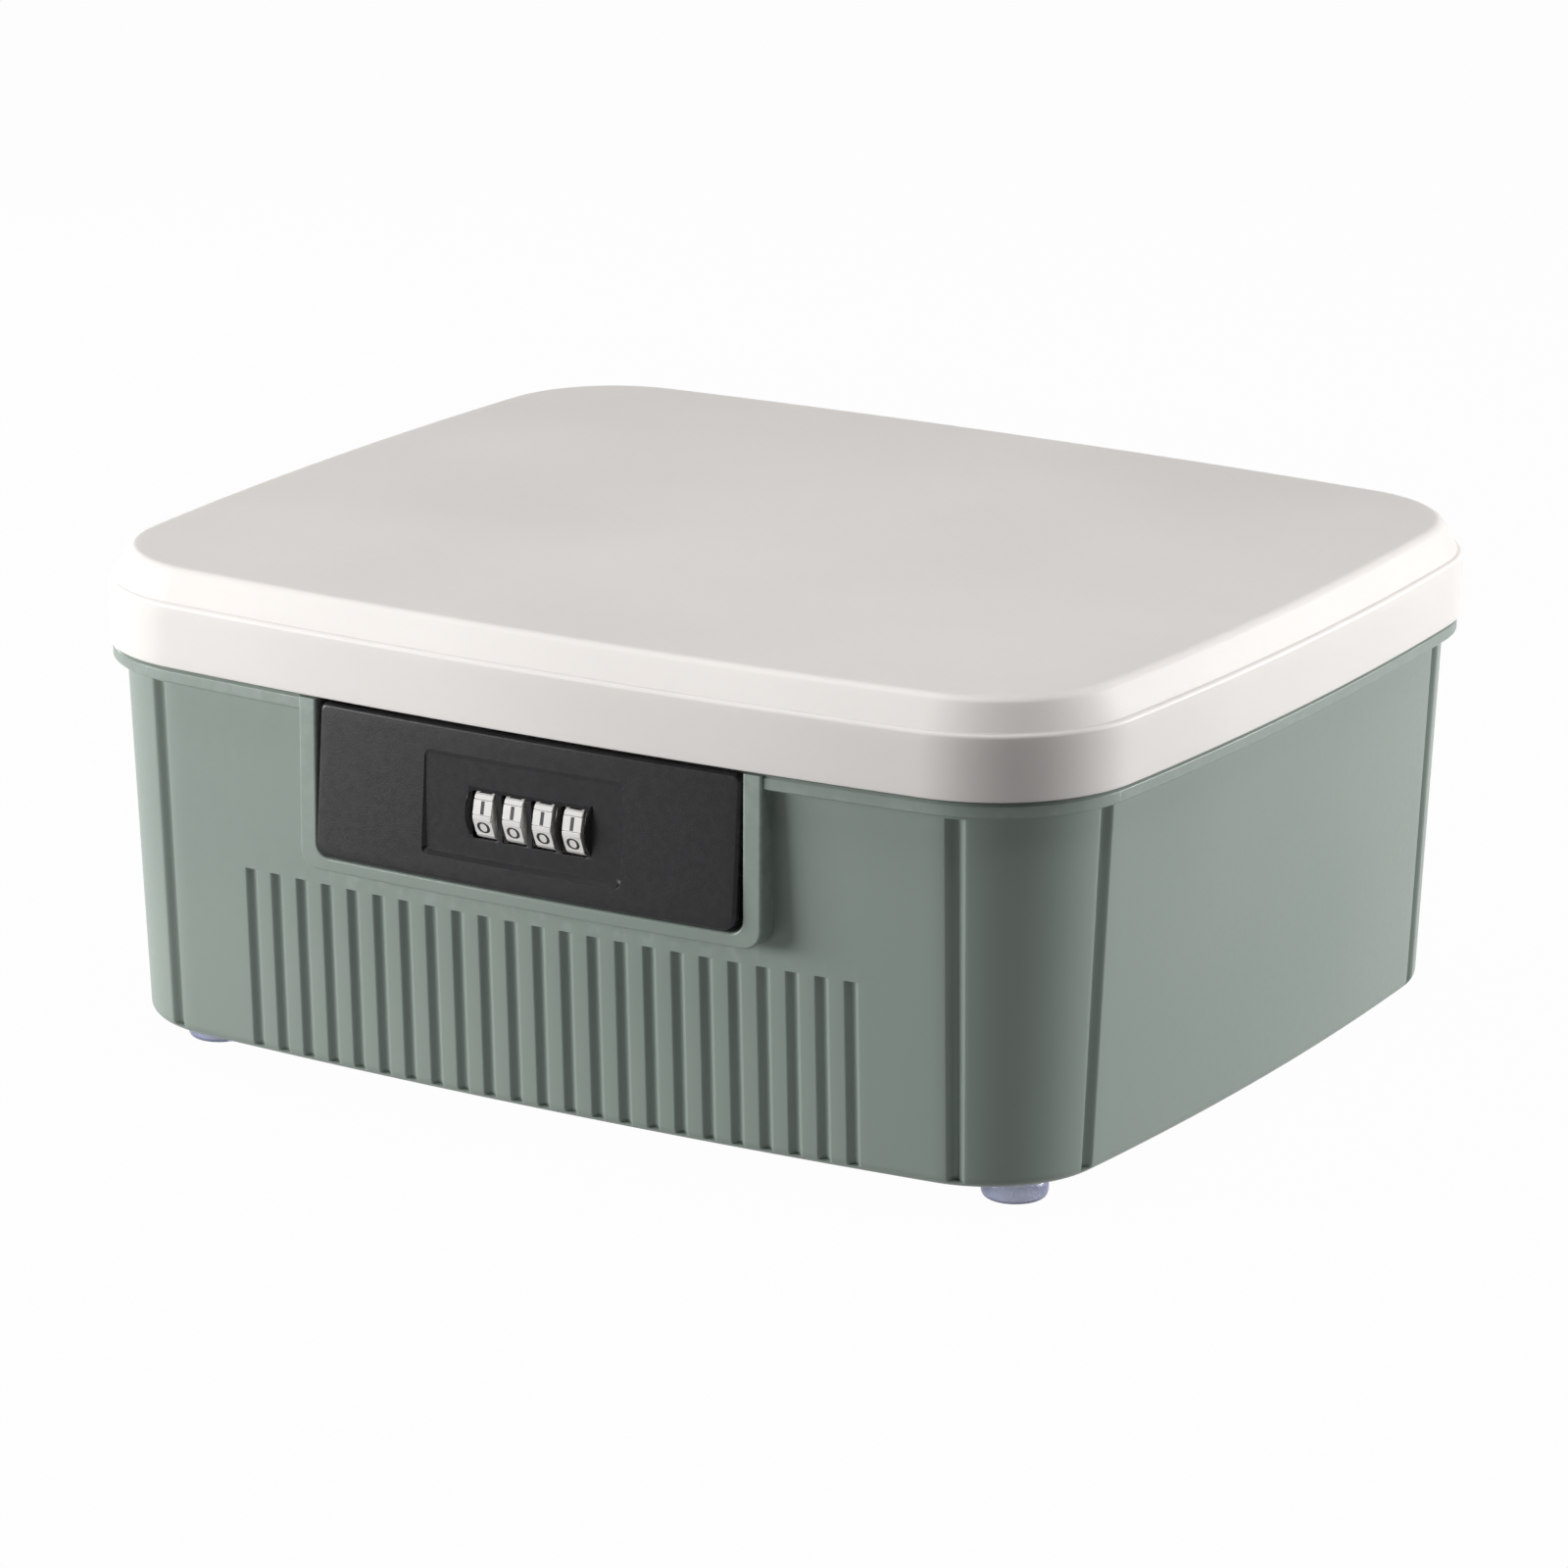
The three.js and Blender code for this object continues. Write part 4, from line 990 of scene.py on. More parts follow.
@dataclass
class Tub:
    """The drafted tub with its ribs, pillars, lock pocket, hinge arms and feet."""

    wall_top_inset: float = 4.35
    wall_base_inset: float = 9.1
    base_round: float = 3.0
    flange_drop: float = 4.1
    flange_inset: float = 0.9
    lip_inset: float = 3.0
    rib_count: int = 23
    rib_pitch: float = 8.045
    rib_half: float = 2.1
    rib_depth: float = 1.5
    rib_top: float = SKIRT_EDGE - 50.8
    pillar_half: float = 3.2
    pillar_depth: float = 1.9
    pillar_top: float = SKIRT_EDGE - 5.6
    pillar_front: float = 8.0
    pillar_side: float = 3.2
    groove_bottom: float = FOOT_HEIGHT + 1.3
    groove_flat: float = 0.05
    run_out: float = 0.15
    pocket_half: float = 62.2
    pocket_floor: float = SKIRT_EDGE - 41.2
    pocket_back: float = -104.0
    floor_round: float = 4.0
    lip_round: float = 1.0
    flange_fillet: float = 0.7
    flange_ease: float = 0.3
    frame_half: float = 67.4
    frame_base: float = SKIRT_EDGE - 44.8
    frame_top: float = SKIRT_EDGE - 0.6
    foot_x: float = 118.5
    foot_y: float = 89.5

    def wall_inset(self, z: float) -> float:
        """How far the outer wall stands in from the skirt's outline at a height."""
        drop = (SKIRT_EDGE - z) / (SKIRT_EDGE - FOOT_HEIGHT)
        return self.wall_top_inset + (self.wall_base_inset - self.wall_top_inset) * drop

    def _groove_steps(self, half: float) -> list[float]:
        """Distances from a groove's middle at which its section needs a point."""
        return [0.0] + even_steps(self.groove_flat * half, half, 7)

    def _pillar_grooves(self) -> Pair:
        """Distances of a pillar's two grooves behind the corner's start."""
        return self.pillar_front, OUTLINE.corner_length - self.pillar_side

    def _columns(self) -> Columns:
        """Places round the wall, close together where a groove bends."""
        xs = {0.0, round(self.pocket_half + WALL / 2, 3)}
        for rib in range((self.rib_count + 1) // 2):
            middle = rib * self.rib_pitch
            xs.add(round(middle + self.rib_pitch / 2, 3))
            for step in self._groove_steps(self.rib_half):
                xs.update((round(middle - step, 3), round(middle + step, 3)))
        front = [OUTLINE.before_joint(x) for x in sorted(xs) if x >= 0]
        front += even_steps(front[-1], 0.0, 6)[1:]
        rear = even_steps(OUTLINE.front_length, 0.0, 24)
        steps = self._groove_steps(self.pillar_half)
        bends = [-step for step in steps[:0:-1]] + steps
        first, second = self._pillar_grooves()
        end = OUTLINE.corner_length
        corner = even_steps(0.0, first + bends[0], 3)[1:-1] + [first + b for b in bends]
        corner += even_steps(first + bends[-1], second + bends[0], 36)[1:-1] + [second + b for b in bends]
        side = even_steps(0.0, OUTLINE.side_length, 24)
        return OUTLINE.columns(front, rear, [away for away in corner if 0.0 < away < end], side)

    def _base_bend(self) -> list[Pair]:
        """Stations round the lower edge, with one at each end of the grooves' run-out."""
        radius = self.base_round
        ends = (self.groove_bottom - FOOT_HEIGHT, self.groove_bottom + self.run_out - FOOT_HEIGHT)
        heights = [0.0, 0.06, 0.23, 0.5, 0.88, *ends, 1.9, 2.4, radius]
        middle = self.wall_inset(FOOT_HEIGHT + radius) + radius
        return [(middle - math.sqrt(radius**2 - (radius - h) ** 2), FOOT_HEIGHT + h) for h in heights]

    def _sections(self) -> tuple[list[Pair], int, int]:
        """Stations round the tub's wall.

        Returns:
            The stations, and the numbers of the outer and inner ones at the pocket's sill.
        """
        sill = self.pocket_floor - WALL / 2
        flange_top = SKIRT_EDGE - 0.5
        flange_base = SKIRT_EDGE - self.flange_drop
        lip_top = SKIRT_EDGE + LIP_HEIGHT
        base = FOOT_HEIGHT
        bottom = self._base_bend()
        outer = [(bottom[0][0] + 3, base)] + bottom
        heights = [base + 12, base + 28, self.rib_top - self.run_out, self.rib_top, sill, sill + 18,
                   self.pillar_top - self.run_out, self.pillar_top]
        outer += [(self.wall_inset(z), z) for z in heights]
        fillet = self.flange_fillet
        under = self.wall_inset(flange_base) - fillet
        outer += [(under + fillet * math.cos(a), flange_base - fillet + fillet * math.sin(a))
                  for a in (math.radians(22.5 * i) for i in range(5))]
        eased = self.flange_ease
        outer += [(self.flange_inset + eased, flange_base), (self.flange_inset, flange_base + eased)]
        outer += [(self.flange_inset, flange_top - 0.8), (self.flange_inset + 0.12, flange_top - 0.6)]
        outer += [(self.flange_inset + 0.7, flange_top - 0.06), (self.flange_inset + 0.9, flange_top)]
        outer += [(self.lip_inset, flange_top)]
        outer += bend(self.lip_inset + self.lip_round, lip_top - self.lip_round, self.lip_round, 0, 180, 8)
        inner_heights = [SKIRT_EDGE - 6, SKIRT_EDGE - 20, sill, base + 30, base + 9]
        inner = [(self.wall_inset(z) + WALL, z) for z in inner_heights]
        floor = base + WALL
        inset = self.wall_inset(floor + self.floor_round) + WALL + self.floor_round
        inner += bend(inset, floor + self.floor_round, self.floor_round, 0, -90, 8)
        stations = outer + inner
        level = [i for i, (_, z) in enumerate(stations) if abs(z - sill) < 1e-6]
        return stations, level[0], level[-1]

    def shell(self, finish: Finish) -> Piece:
        """Builds the moulded wall and floor, open at the lock pocket.

        Args:
            finish: material of the tub.

        Returns:
            The piece.
        """
        columns = self._columns()
        stations, first, last = self._sections()
        count = len(columns.spot)
        half = self.pocket_half + WALL / 2
        in_pocket = [abs(x) < half + 1e-6 and y < 0 for x, y in columns.spot]
        form = Form()
        points = [p for inset, z in stations for p in columns.ring(inset, z)]
        opened = [in_pocket[i] and in_pocket[(i + 1) % count] for i in range(count)]
        faces = [face for number, face in enumerate(form.bands(len(stations) - 1, count))
                 if not (first <= number // count < last and opened[number % count])]
        faces.append(tuple(reversed(range(count))))
        faces.append(tuple(range((len(stations) - 1) * count, len(stations) * count)))
        faces += [(first * count + i, first * count + (i + 1) % count,
                   last * count + (i + 1) % count, last * count + i) for i in range(count) if opened[i]]
        faces += [tuple(level * count + i for level in range(first, last + 1)) for i in range(count)
                  if in_pocket[i] and not (opened[i - 1] and opened[i])]
        form.add(points, faces)
        piece = form.piece("tub_shell")
        self._mark_wall(piece, columns)
        run_tree(piece, groove_tree(), {
            "Rib Pitch": self.rib_pitch * MM, "Rib Count": self.rib_count,
            "Rib Half Width": self.rib_half * MM, "Rib Depth": self.rib_depth * MM,
            "Rib Top": self.rib_top * MM, "Pillar Half Width": self.pillar_half * MM,
            "Pillar Depth": self.pillar_depth * MM, "Pillar Top": self.pillar_top * MM,
            "Bottom": self.groove_bottom * MM, "Run Out": self.run_out * MM,
            "Flat Share": self.groove_flat, "Finish": finish,
        })
        return ease(piece, sharp=38)

    def _mark_wall(self, piece: Piece, columns: Columns) -> None:
        """Stores on the wall's points what the groove nodes read.

        Args:
            piece: the tub's shell.
            columns: the places round its outline.
        """
        mesh = piece.data
        count = len(mesh.vertices)
        flat = np.zeros(count * 3, np.float32)
        mesh.vertices.foreach_get("co", flat)
        points = flat.reshape(-1, 3) / MM - (0.0, MIDDLE_Y, 0.0)
        apart = np.hypot(*(points[:, None, :2] - columns.spot[None, :, :]).transpose(2, 0, 1))
        near = apart.argmin(axis=1)
        gap = apart[np.arange(count), near]
        height = points[:, 2]
        above, inside, outside = 0.2, 1.2, 0.5
        on_wall = (height < self.pillar_top + above) & (gap < self.wall_inset(height) + inside)
        on_wall &= gap > self.wall_top_inset - outside
        x, y = columns.spot[near].T
        far = DEPTH
        along = np.where(on_wall & (y < -DEPTH / 2 + 2 * FRONT_BULGE), x, far) * MM
        place = columns.behind_joint[near]
        nearest = np.min([np.abs(place - groove) for groove in self._pillar_grooves()], axis=0)
        from_pillar = np.where(on_wall, nearest, far) * MM
        outward = np.zeros((count, 3), np.float32)
        outward[:, :2] = columns.outward[near]
        for name, kind, field, values in (("outward", "FLOAT_VECTOR", "vector", outward.ravel()),
                                          ("along_front", "FLOAT", "value", along),
                                          ("from_pillar", "FLOAT", "value", from_pillar)):
            mesh.attributes.new(name, kind, "POINT")
            mesh.attributes[name].data.foreach_set(field, values.astype(np.float32))


@dataclass(frozen=True)
class Notch:
    """An upright U, open at its top.

    Args:
        half: half of its width.
        bottom: height of its bottom.
        radius: radius of its lower corners.
    """

    half: float
    bottom: float
    radius: float

    def path(self, top: float, grow: float = 0.0) -> list[Pair]:
        """Points down the left side, along the bottom and up the right side.

        Args:
            top: height at which both sides end.
            grow: how far the U is widened.

        Returns:
            X and Z of each point.
        """
        corner_steps = 10
        bottom_steps = 24
        half, bottom, radius = self.half + grow, self.bottom - grow, self.radius + grow
        left = [(-half + radius - radius * math.cos(a), bottom + radius - radius * math.sin(a))
                for a in (math.radians(90 * i / corner_steps) for i in range(corner_steps + 1))]
        flat = 2 * (half - radius)
        along = [(-flat / 2 + flat * i / bottom_steps, bottom) for i in range(1, bottom_steps)]
        right = [(-x, z) for x, z in reversed(left)]
        return [(-half, top)] + left + along + right + [(half, top)]


def trough(form: Form, stations: Sequence[tuple[list[Point], list[Point]]]) -> None:
    """Adds a U-shaped wall.

    Args:
        form: the form that gets it.
        stations: from front to back, the points along the outside and the inside of the wall.
    """
    count = len(stations[0][0])
    start = form.loft([outer + inner[::-1] for outer, inner in stations], closed=False)
    for level in (0, len(stations) - 1):
        base = start + level * 2 * count
        for i in range(count - 1):
            form.faces.append([base + i, base + i + 1, base + 2 * count - 2 - i, base + 2 * count - 1 - i])


def ringed_bore(form: Form, x0: float, x1: float, y: float, z: float, radius: float, bore: float,
                eased: float = 0.3, steps: int = 32) -> None:
    """Adds a ring along X with a bore through it.

    Args:
        form: the form that gets it.
        x0: first end.
        x1: second end.
        y: axis place.
        z: axis height.
        radius: outer radius.
        bore: radius of the bore.
        eased: easing of the outer edges.
        steps: faces round the axis.
    """
    section = [(bore, x0), (radius - eased, x0), (radius, x0 + eased), (radius, x1 - eased),
               (radius - eased, x1), (bore, x1)]
    points = []
    for step in range(steps):
        angle = 2 * math.pi * step / steps
        points += [(x, y + r * math.cos(angle), z + r * math.sin(angle)) for r, x in section]
    faces = form.bands(steps, len(section))
    form.add(points, [[number % len(points) for number in face] for face in faces])


@dataclass
class TubFittings:
    """The raised frame and lining of the lock pocket, the hinge arms and the seats of the feet."""

    tub: Tub
    face_inset: float = 0.1
    face_round: float = 0.7
    frame_back: float = -117.0
    lining_front: float = -121.8
    outer_radius: float = 5.0
    inner_radius: float = 3.5
    buried: float = 1.3
    lid_knuckle_half: float = 8.0
    knuckle_width: float = 8.0
    boss_end: float = -96.0
    boss_radius: float = 3.4

    def frame_form(self, finish: Finish) -> Piece:
        """Builds the raised frame round the pocket.

        Args:
            finish: material of the tub.

        Returns:
            The piece.
        """
        outside = Notch(self.tub.frame_half, self.tub.frame_base, self.outer_radius)
        inside = Notch(self.tub.pocket_half, self.tub.pocket_floor, self.inner_radius)
        top = self.tub.frame_top

        def facing(path: list[Pair], depth: float) -> list[Point]:
            """A path laid on the bowed front, at a depth behind it."""
            return [(x, OUTLINE.front_surface(x, self.face_inset) + depth, z) for x, z in path]

        def flat(path: list[Pair], y: float) -> list[Point]:
            """A path laid on an upright plane."""
            return [(x, y, z) for x, z in path]

        stations = []
        for degrees in (0, 22.5, 45, 67.5, 90):
            angle = math.radians(degrees)
            grow = self.face_round * (1 - math.sin(angle))
            depth = self.face_round * (1 - math.cos(angle))
            stations.append((facing(outside.path(top, -grow), depth), facing(inside.path(top, grow), depth)))
        middle = self.lining_front
        stations.append((flat(outside.path(top), middle), flat(inside.path(top), middle)))
        for y in (middle, self.frame_back):
            stations.append((flat(outside.path(top), y), flat(inside.path(top, self.buried), y)))
        form = Form()
        trough(form, stations)
        return seat(ease(form.piece("pocket_frame"), sharp=40), Body.TUB, Slot.GREEN, finish)

    def lining(self, finish: Finish) -> Piece:
        """Builds the lining of the pocket, with the bosses of the keeper's screws.

        Args:
            finish: material of the tub.

        Returns:
            The piece.
        """
        outside = Notch(self.tub.pocket_half + WALL, self.tub.pocket_floor - WALL, self.outer_radius)
        inside = Notch(self.tub.pocket_half, self.tub.pocket_floor, self.inner_radius)
        top = SKIRT_EDGE + LIP_HEIGHT
        back = self.tub.pocket_back
        overlap = 0.05
        drawn_in = 0.02
        form = Form()
        paths = (outside.path(top), inside.path(top))
        trough(form, [tuple([(x, y, z) for x, z in path] for path in paths)
                      for y in (self.lining_front, back + WALL - overlap)])
        form.prism_y(outside.path(top - drawn_in, -drawn_in), back, back + WALL)
        for side in (-1, 1):
            form.rod_y(back + 1, self.boss_end, side * KEEPER_SCREW_X, KEEPER_SCREW_Z, self.boss_radius)
        return seat(ease(form.piece("pocket_lining"), sharp=40), Body.TUB, Slot.GREEN, finish)

    def hinge_arms(self, finish: Finish) -> Piece:
        """Builds the tub's hinge knuckles on their arms, and the seats of the feet.

        Args:
            finish: material of the tub.

        Returns:
            The piece.
        """
        y, z = HINGE_Y, HINGE_Z
        arm = [(121.5, SKIRT_EDGE - 4), (y - 2.5, z + 0.8), (y - 1.8, z - 1.9), (y + 0.2, z - 2.7),
               (122.0, SKIRT_EDGE - 13), (120.2, SKIRT_EDGE - 13)]
        reach = self.lid_knuckle_half + RUNNING_GAP + self.knuckle_width / 2
        form = Form()
        for side in (-1, 1):
            for end in (-1, 1):
                middle = side * HINGE_X + end * reach
                half = self.knuckle_width / 2
                ringed_bore(form, middle - half, middle + half, y, z, KNUCKLE_RADIUS, PIN_BORE)
                form.prism_x(arm, middle, self.knuckle_width - 0.5)
        for sx in (-1, 1):
            for sy in (-1, 1):
                spot = (sx * self.tub.foot_x, sy * self.tub.foot_y)
                form.turned([(6.7, 5.9), (7.0, 6.2), (7.0, FOOT_HEIGHT + 0.3)],
                            lambda u, v, w, spot=spot: (spot[0] + u, spot[1] + v, w), 48)
        return seat(ease(form.piece("tub_hinge_arms"), sharp=40), Body.TUB, Slot.GREEN, finish)

    def build(self, finishes: Finishes) -> None:
        """Builds the tub and everything moulded with it.

        Args:
            finishes: every finish of the box.
        """
        shell = self.tub.shell(finishes.green)
        seat(shell, Body.TUB, Slot.GREEN, finishes.green, ["tub"])
        self.frame_form(finishes.green)
        self.lining(finishes.green_inner)
        self.hinge_arms(finishes.green)


@dataclass
class Feet:
    """Four round rubber feet."""

    tub: Tub
    radius: float = 8.4
    seat_z: float = 5.6
    spigot: float = 5.0

    def build(self, finishes: Finishes) -> None:
        """Builds each foot as a turned solid.

        Args:
            finishes: every finish of the box.
        """
        profile = [(6.4, 0.0), (6.9, 0.04), (7.4, 0.2), (7.8, 0.5), (8.1, 0.95), (8.3, 1.6),
                   (self.radius, 2.5), (self.radius, 3.1), (8.34, 3.8), (8.2, 4.5), (7.95, 5.05),
                   (7.6, 5.42), (7.2, self.seat_z), (self.spigot, self.seat_z),
                   (self.spigot, self.seat_z + 2.4)]
        places = [(-1, -1), (1, -1), (1, 1), (-1, 1)]
        for number, (sx, sy) in enumerate(places, 1):
            x, y = sx * self.tub.foot_x, sy * self.tub.foot_y
            form = Form()
            form.turned(profile, lambda u, v, w, x=x, y=y: (x + u, y + v, w), 56)
            piece = ease(form.piece(f"rubber_foot_{number}"), sharp=35)
            seat(piece, Body.TUB, Slot.RUBBER, finishes.rubber, [f"foot_{number}"])


# Lid

@dataclass
class Lid:
    """The stepped lid with its hinge knuckles and the lugs that carry the lock flap."""

    step_height: float = 16.7
    step_round: float = 1.1
    shoulder_foot: float = 1.35
    shoulder_lean: float = 30.0
    top_round: float = 3.0
    hollow_inset: float = 6.3
    hollow_round: float = 2.6
    knuckle_half: float = 8.0
    lug_x: float = 54.0
    lug_thickness: float = 4.0

    def _stations(self) -> list[Pair]:
        """Stations round the lid's section, from the inside of its top to the outside."""
        top = SKIRT_EDGE + LID_HEIGHT
        step = SKIRT_EDGE + self.step_height
        under = top - WALL
        inner_wall = self.hollow_inset
        inside = bend(inner_wall + self.hollow_round, under - self.hollow_round, self.hollow_round, 90, 0, 6)
        skirt = [(inner_wall, step + 0.5), (WALL + 0.3, step - 1.5), (WALL, step - 2.2),
                 (WALL, SKIRT_EDGE + 0.3), (WALL - 0.3, SKIRT_EDGE)]
        edge = bend(0.5, SKIRT_EDGE + 0.5, 0.5, -90, 0, 5)
        wall = [(0.03, SKIRT_EDGE + 4), (0.06, SKIRT_EDGE + 9), (0.1, SKIRT_EDGE + 13)]
        brim = bend(self.step_round + 0.15, step - self.step_round, self.step_round, 0, 90, 10)
        foot = self.shoulder_foot
        hollow = [(foot - 0.32, step + 0.02), (foot - 0.14, step + 0.1), (foot, step + 0.3)]
        lean = math.radians(self.shoulder_lean)
        head = top - self.top_round * (1 - math.sin(lean))
        inset = foot + (head - step - 0.3) * math.tan(lean) + self.top_round * math.cos(lean)
        crown = bend(inset, top - self.top_round, self.top_round, self.shoulder_lean, 90, 10)
        return inside + skirt + edge + wall + brim + hollow + crown

    def shell(self) -> Form:
        """Builds the lid's shell."""
        front = even_steps(OUTLINE.front_length, 0, 24)
        corner = even_steps(0, OUTLINE.corner_length, 40)[1:-1]
        columns = OUTLINE.columns(front, front, corner, even_steps(0, OUTLINE.side_length, 20))
        form = Form()
        form.loft([columns.ring(inset, z) for inset, z in self._stations()])
        return form

    def fittings(self) -> Form:
        """Builds the hinge knuckles and the swan-necked lugs inside the lid."""
        y, z = HINGE_Y, HINGE_Z
        web = [(122.6, SKIRT_EDGE + 0.4), (y - 2.4, z + 1.6), (y, z + 2.6), (y + 2.4, z + 1.6),
               (126.3, SKIRT_EDGE + 8.5), (122.9, SKIRT_EDGE + 10.5)]
        form = Form()
        for side in (-1, 1):
            middle = side * HINGE_X
            ringed_bore(form, middle - self.knuckle_half, middle + self.knuckle_half, y, z,
                        KNUCKLE_RADIUS, PIN_BORE)
            form.prism_x(web, middle, 2 * self.knuckle_half - 0.5)
            half = self.lug_thickness / 2
            boss = (PIVOT_Y, PIVOT_Z)
            ringed_bore(form, side * self.lug_x - half, side * self.lug_x + half, *boss,
                        PIVOT_RADIUS, PIN_BORE)
            neck = [(boss[0] + 1.2, boss[1] - 2.4), (-110.0, boss[1] - 3), (-107.4, boss[1] - 0.5),
                    (-107.4, SKIRT_EDGE + 22.9), (-111.6, SKIRT_EDGE + 22.9), (-111.6, SKIRT_EDGE + 0.5),
                    (-112.4, boss[1] + 3.4), (boss[0] + 1.5, boss[1] + 2.2)]
            form.prism_x(neck, side * self.lug_x, self.lug_thickness - 0.1)
        return form

    def build(self, finishes: Finishes) -> None:
        """Builds the lid.

        Args:
            finishes: every finish of the box.
        """
        shell = ease(self.shell().piece("lid_shell"), sharp=45)
        seat(shell, Body.LID, Slot.WHITE, finishes.white, ["lid"])
        inside = ease(self.fittings().piece("lid_knuckles_and_lugs"), sharp=40)
        seat(inside, Body.LID, Slot.WHITE, finishes.white)


# Lock flap

def box_outline(half: float, bottom: float, top: float, low_radius: float, high_radius: float,
                middle: float = 0.0, corner_steps: int = 6, along: int = 1) -> list[Pair]:
    """A rectangle with round corners, anticlockwise, with points along its flat edges.

    Args:
        half: half of its width.
        bottom: height of its lower edge.
        top: height of its upper edge.
        low_radius: radius of the lower corners.
        high_radius: radius of the upper corners.
        middle: x of its middle.
        corner_steps: steps round each corner.
        along: steps along each of the upper and lower edges.

    Returns:
        X and Z of each point.
    """
    arcs = []
    for x, z, radius, start in ((-half + low_radius, bottom + low_radius, low_radius, 180),
                                (half - low_radius, bottom + low_radius, low_radius, 270),
                                (half - high_radius, top - high_radius, high_radius, 0),
                                (-half + high_radius, top - high_radius, high_radius, 90)):
        angles = [math.radians(start + 90 * i / corner_steps) for i in range(corner_steps + 1)]
        arcs.append([(x + radius * math.cos(a), z + radius * math.sin(a)) for a in angles])
    left, right, high_right, high_left = arcs

    def between(start: Pair, end: Pair) -> list[Pair]:
        """Points along a flat edge, without its ends."""
        return [(start[0] + (end[0] - start[0]) * i / along, start[1]) for i in range(1, along)]

    loop = left + between(left[-1], right[0]) + right + high_right
    loop += between(high_right[-1], high_left[0]) + high_left
    return [(x + middle, z) for x, z in loop]


def filled(outlines: Sequence[list[Pair]], spacing: float) -> tuple[list[Pair], list[Sequence[int]]]:
    """Fills the area between an outer outline and the holes in it.

    Args:
        outlines: the outer outline, then the holes.
        spacing: distance between the points that are laid inside.

    Returns:
        The points and the triangles between them.
    """
    points: list[Pair] = []
    edges = []
    for outline in outlines:
        start = len(points)
        points += outline
        count = len(outline)
        edges += [(start + i, start + (i + 1) % count) for i in range(count)]
    rim = np.array(points)
    low, high = rim.min(axis=0), rim.max(axis=0)
    for x in np.arange(low[0] + spacing / 2, high[0], spacing):
        for z in np.arange(low[1] + spacing / 2, high[1], spacing):
            clear = np.min(np.hypot(rim[:, 0] - x, rim[:, 1] - z)) > spacing * 0.4
            if clear and _wall_distance(outlines, x, z) > spacing * 0.3:
                points.append((float(x), float(z)))
    tolerance = 1e-7
    places, _, triangles, *_ = delaunay_2d_cdt([Vector(p) for p in points], edges, [], 1, tolerance)
    kept = []
    for triangle in triangles:
        middle = sum((places[i] for i in triangle), Vector((0, 0))) / len(triangle)
        if not any(_inside(hole, middle.x, middle.y) for hole in outlines[1:]):
            kept.append(triangle)
    return [tuple(p) for p in places], kept


def _inside(outline: list[Pair], x: float, z: float) -> bool:
    """Whether a point lies inside an outline.

    Args:
        outline: the outline.
        x: the point's x.
        z: the point's height.

    Returns:
        True where it lies inside.
    """
    crossings = 0
    for i, (x0, z0) in enumerate(outline):
        x1, z1 = outline[i - 1]
        if (z0 > z) != (z1 > z) and x < x0 + (x1 - x0) * (z - z0) / (z1 - z0):
            crossings += 1
    return crossings % 2 == 1


def _wall_distance(outlines: Sequence[list[Pair]], x: float, z: float) -> float:
    """Distance from a point to the nearest edge of any outline.

    Args:
        outlines: the outlines.
        x: the point's x.
        z: the point's height.

    Returns:
        The distance.
    """
    nearest = math.inf
    for outline in outlines:
        a = np.array(outline)
        step = np.roll(a, -1, axis=0) - a
        length = np.maximum((step**2).sum(axis=1), 1e-12)
        share = np.clip((((x, z) - a) * step).sum(axis=1) / length, 0, 1)
        gap = np.hypot(*(a + step * share[:, None] - (x, z)).T)
        nearest = min(nearest, float(gap.min()))
    return nearest


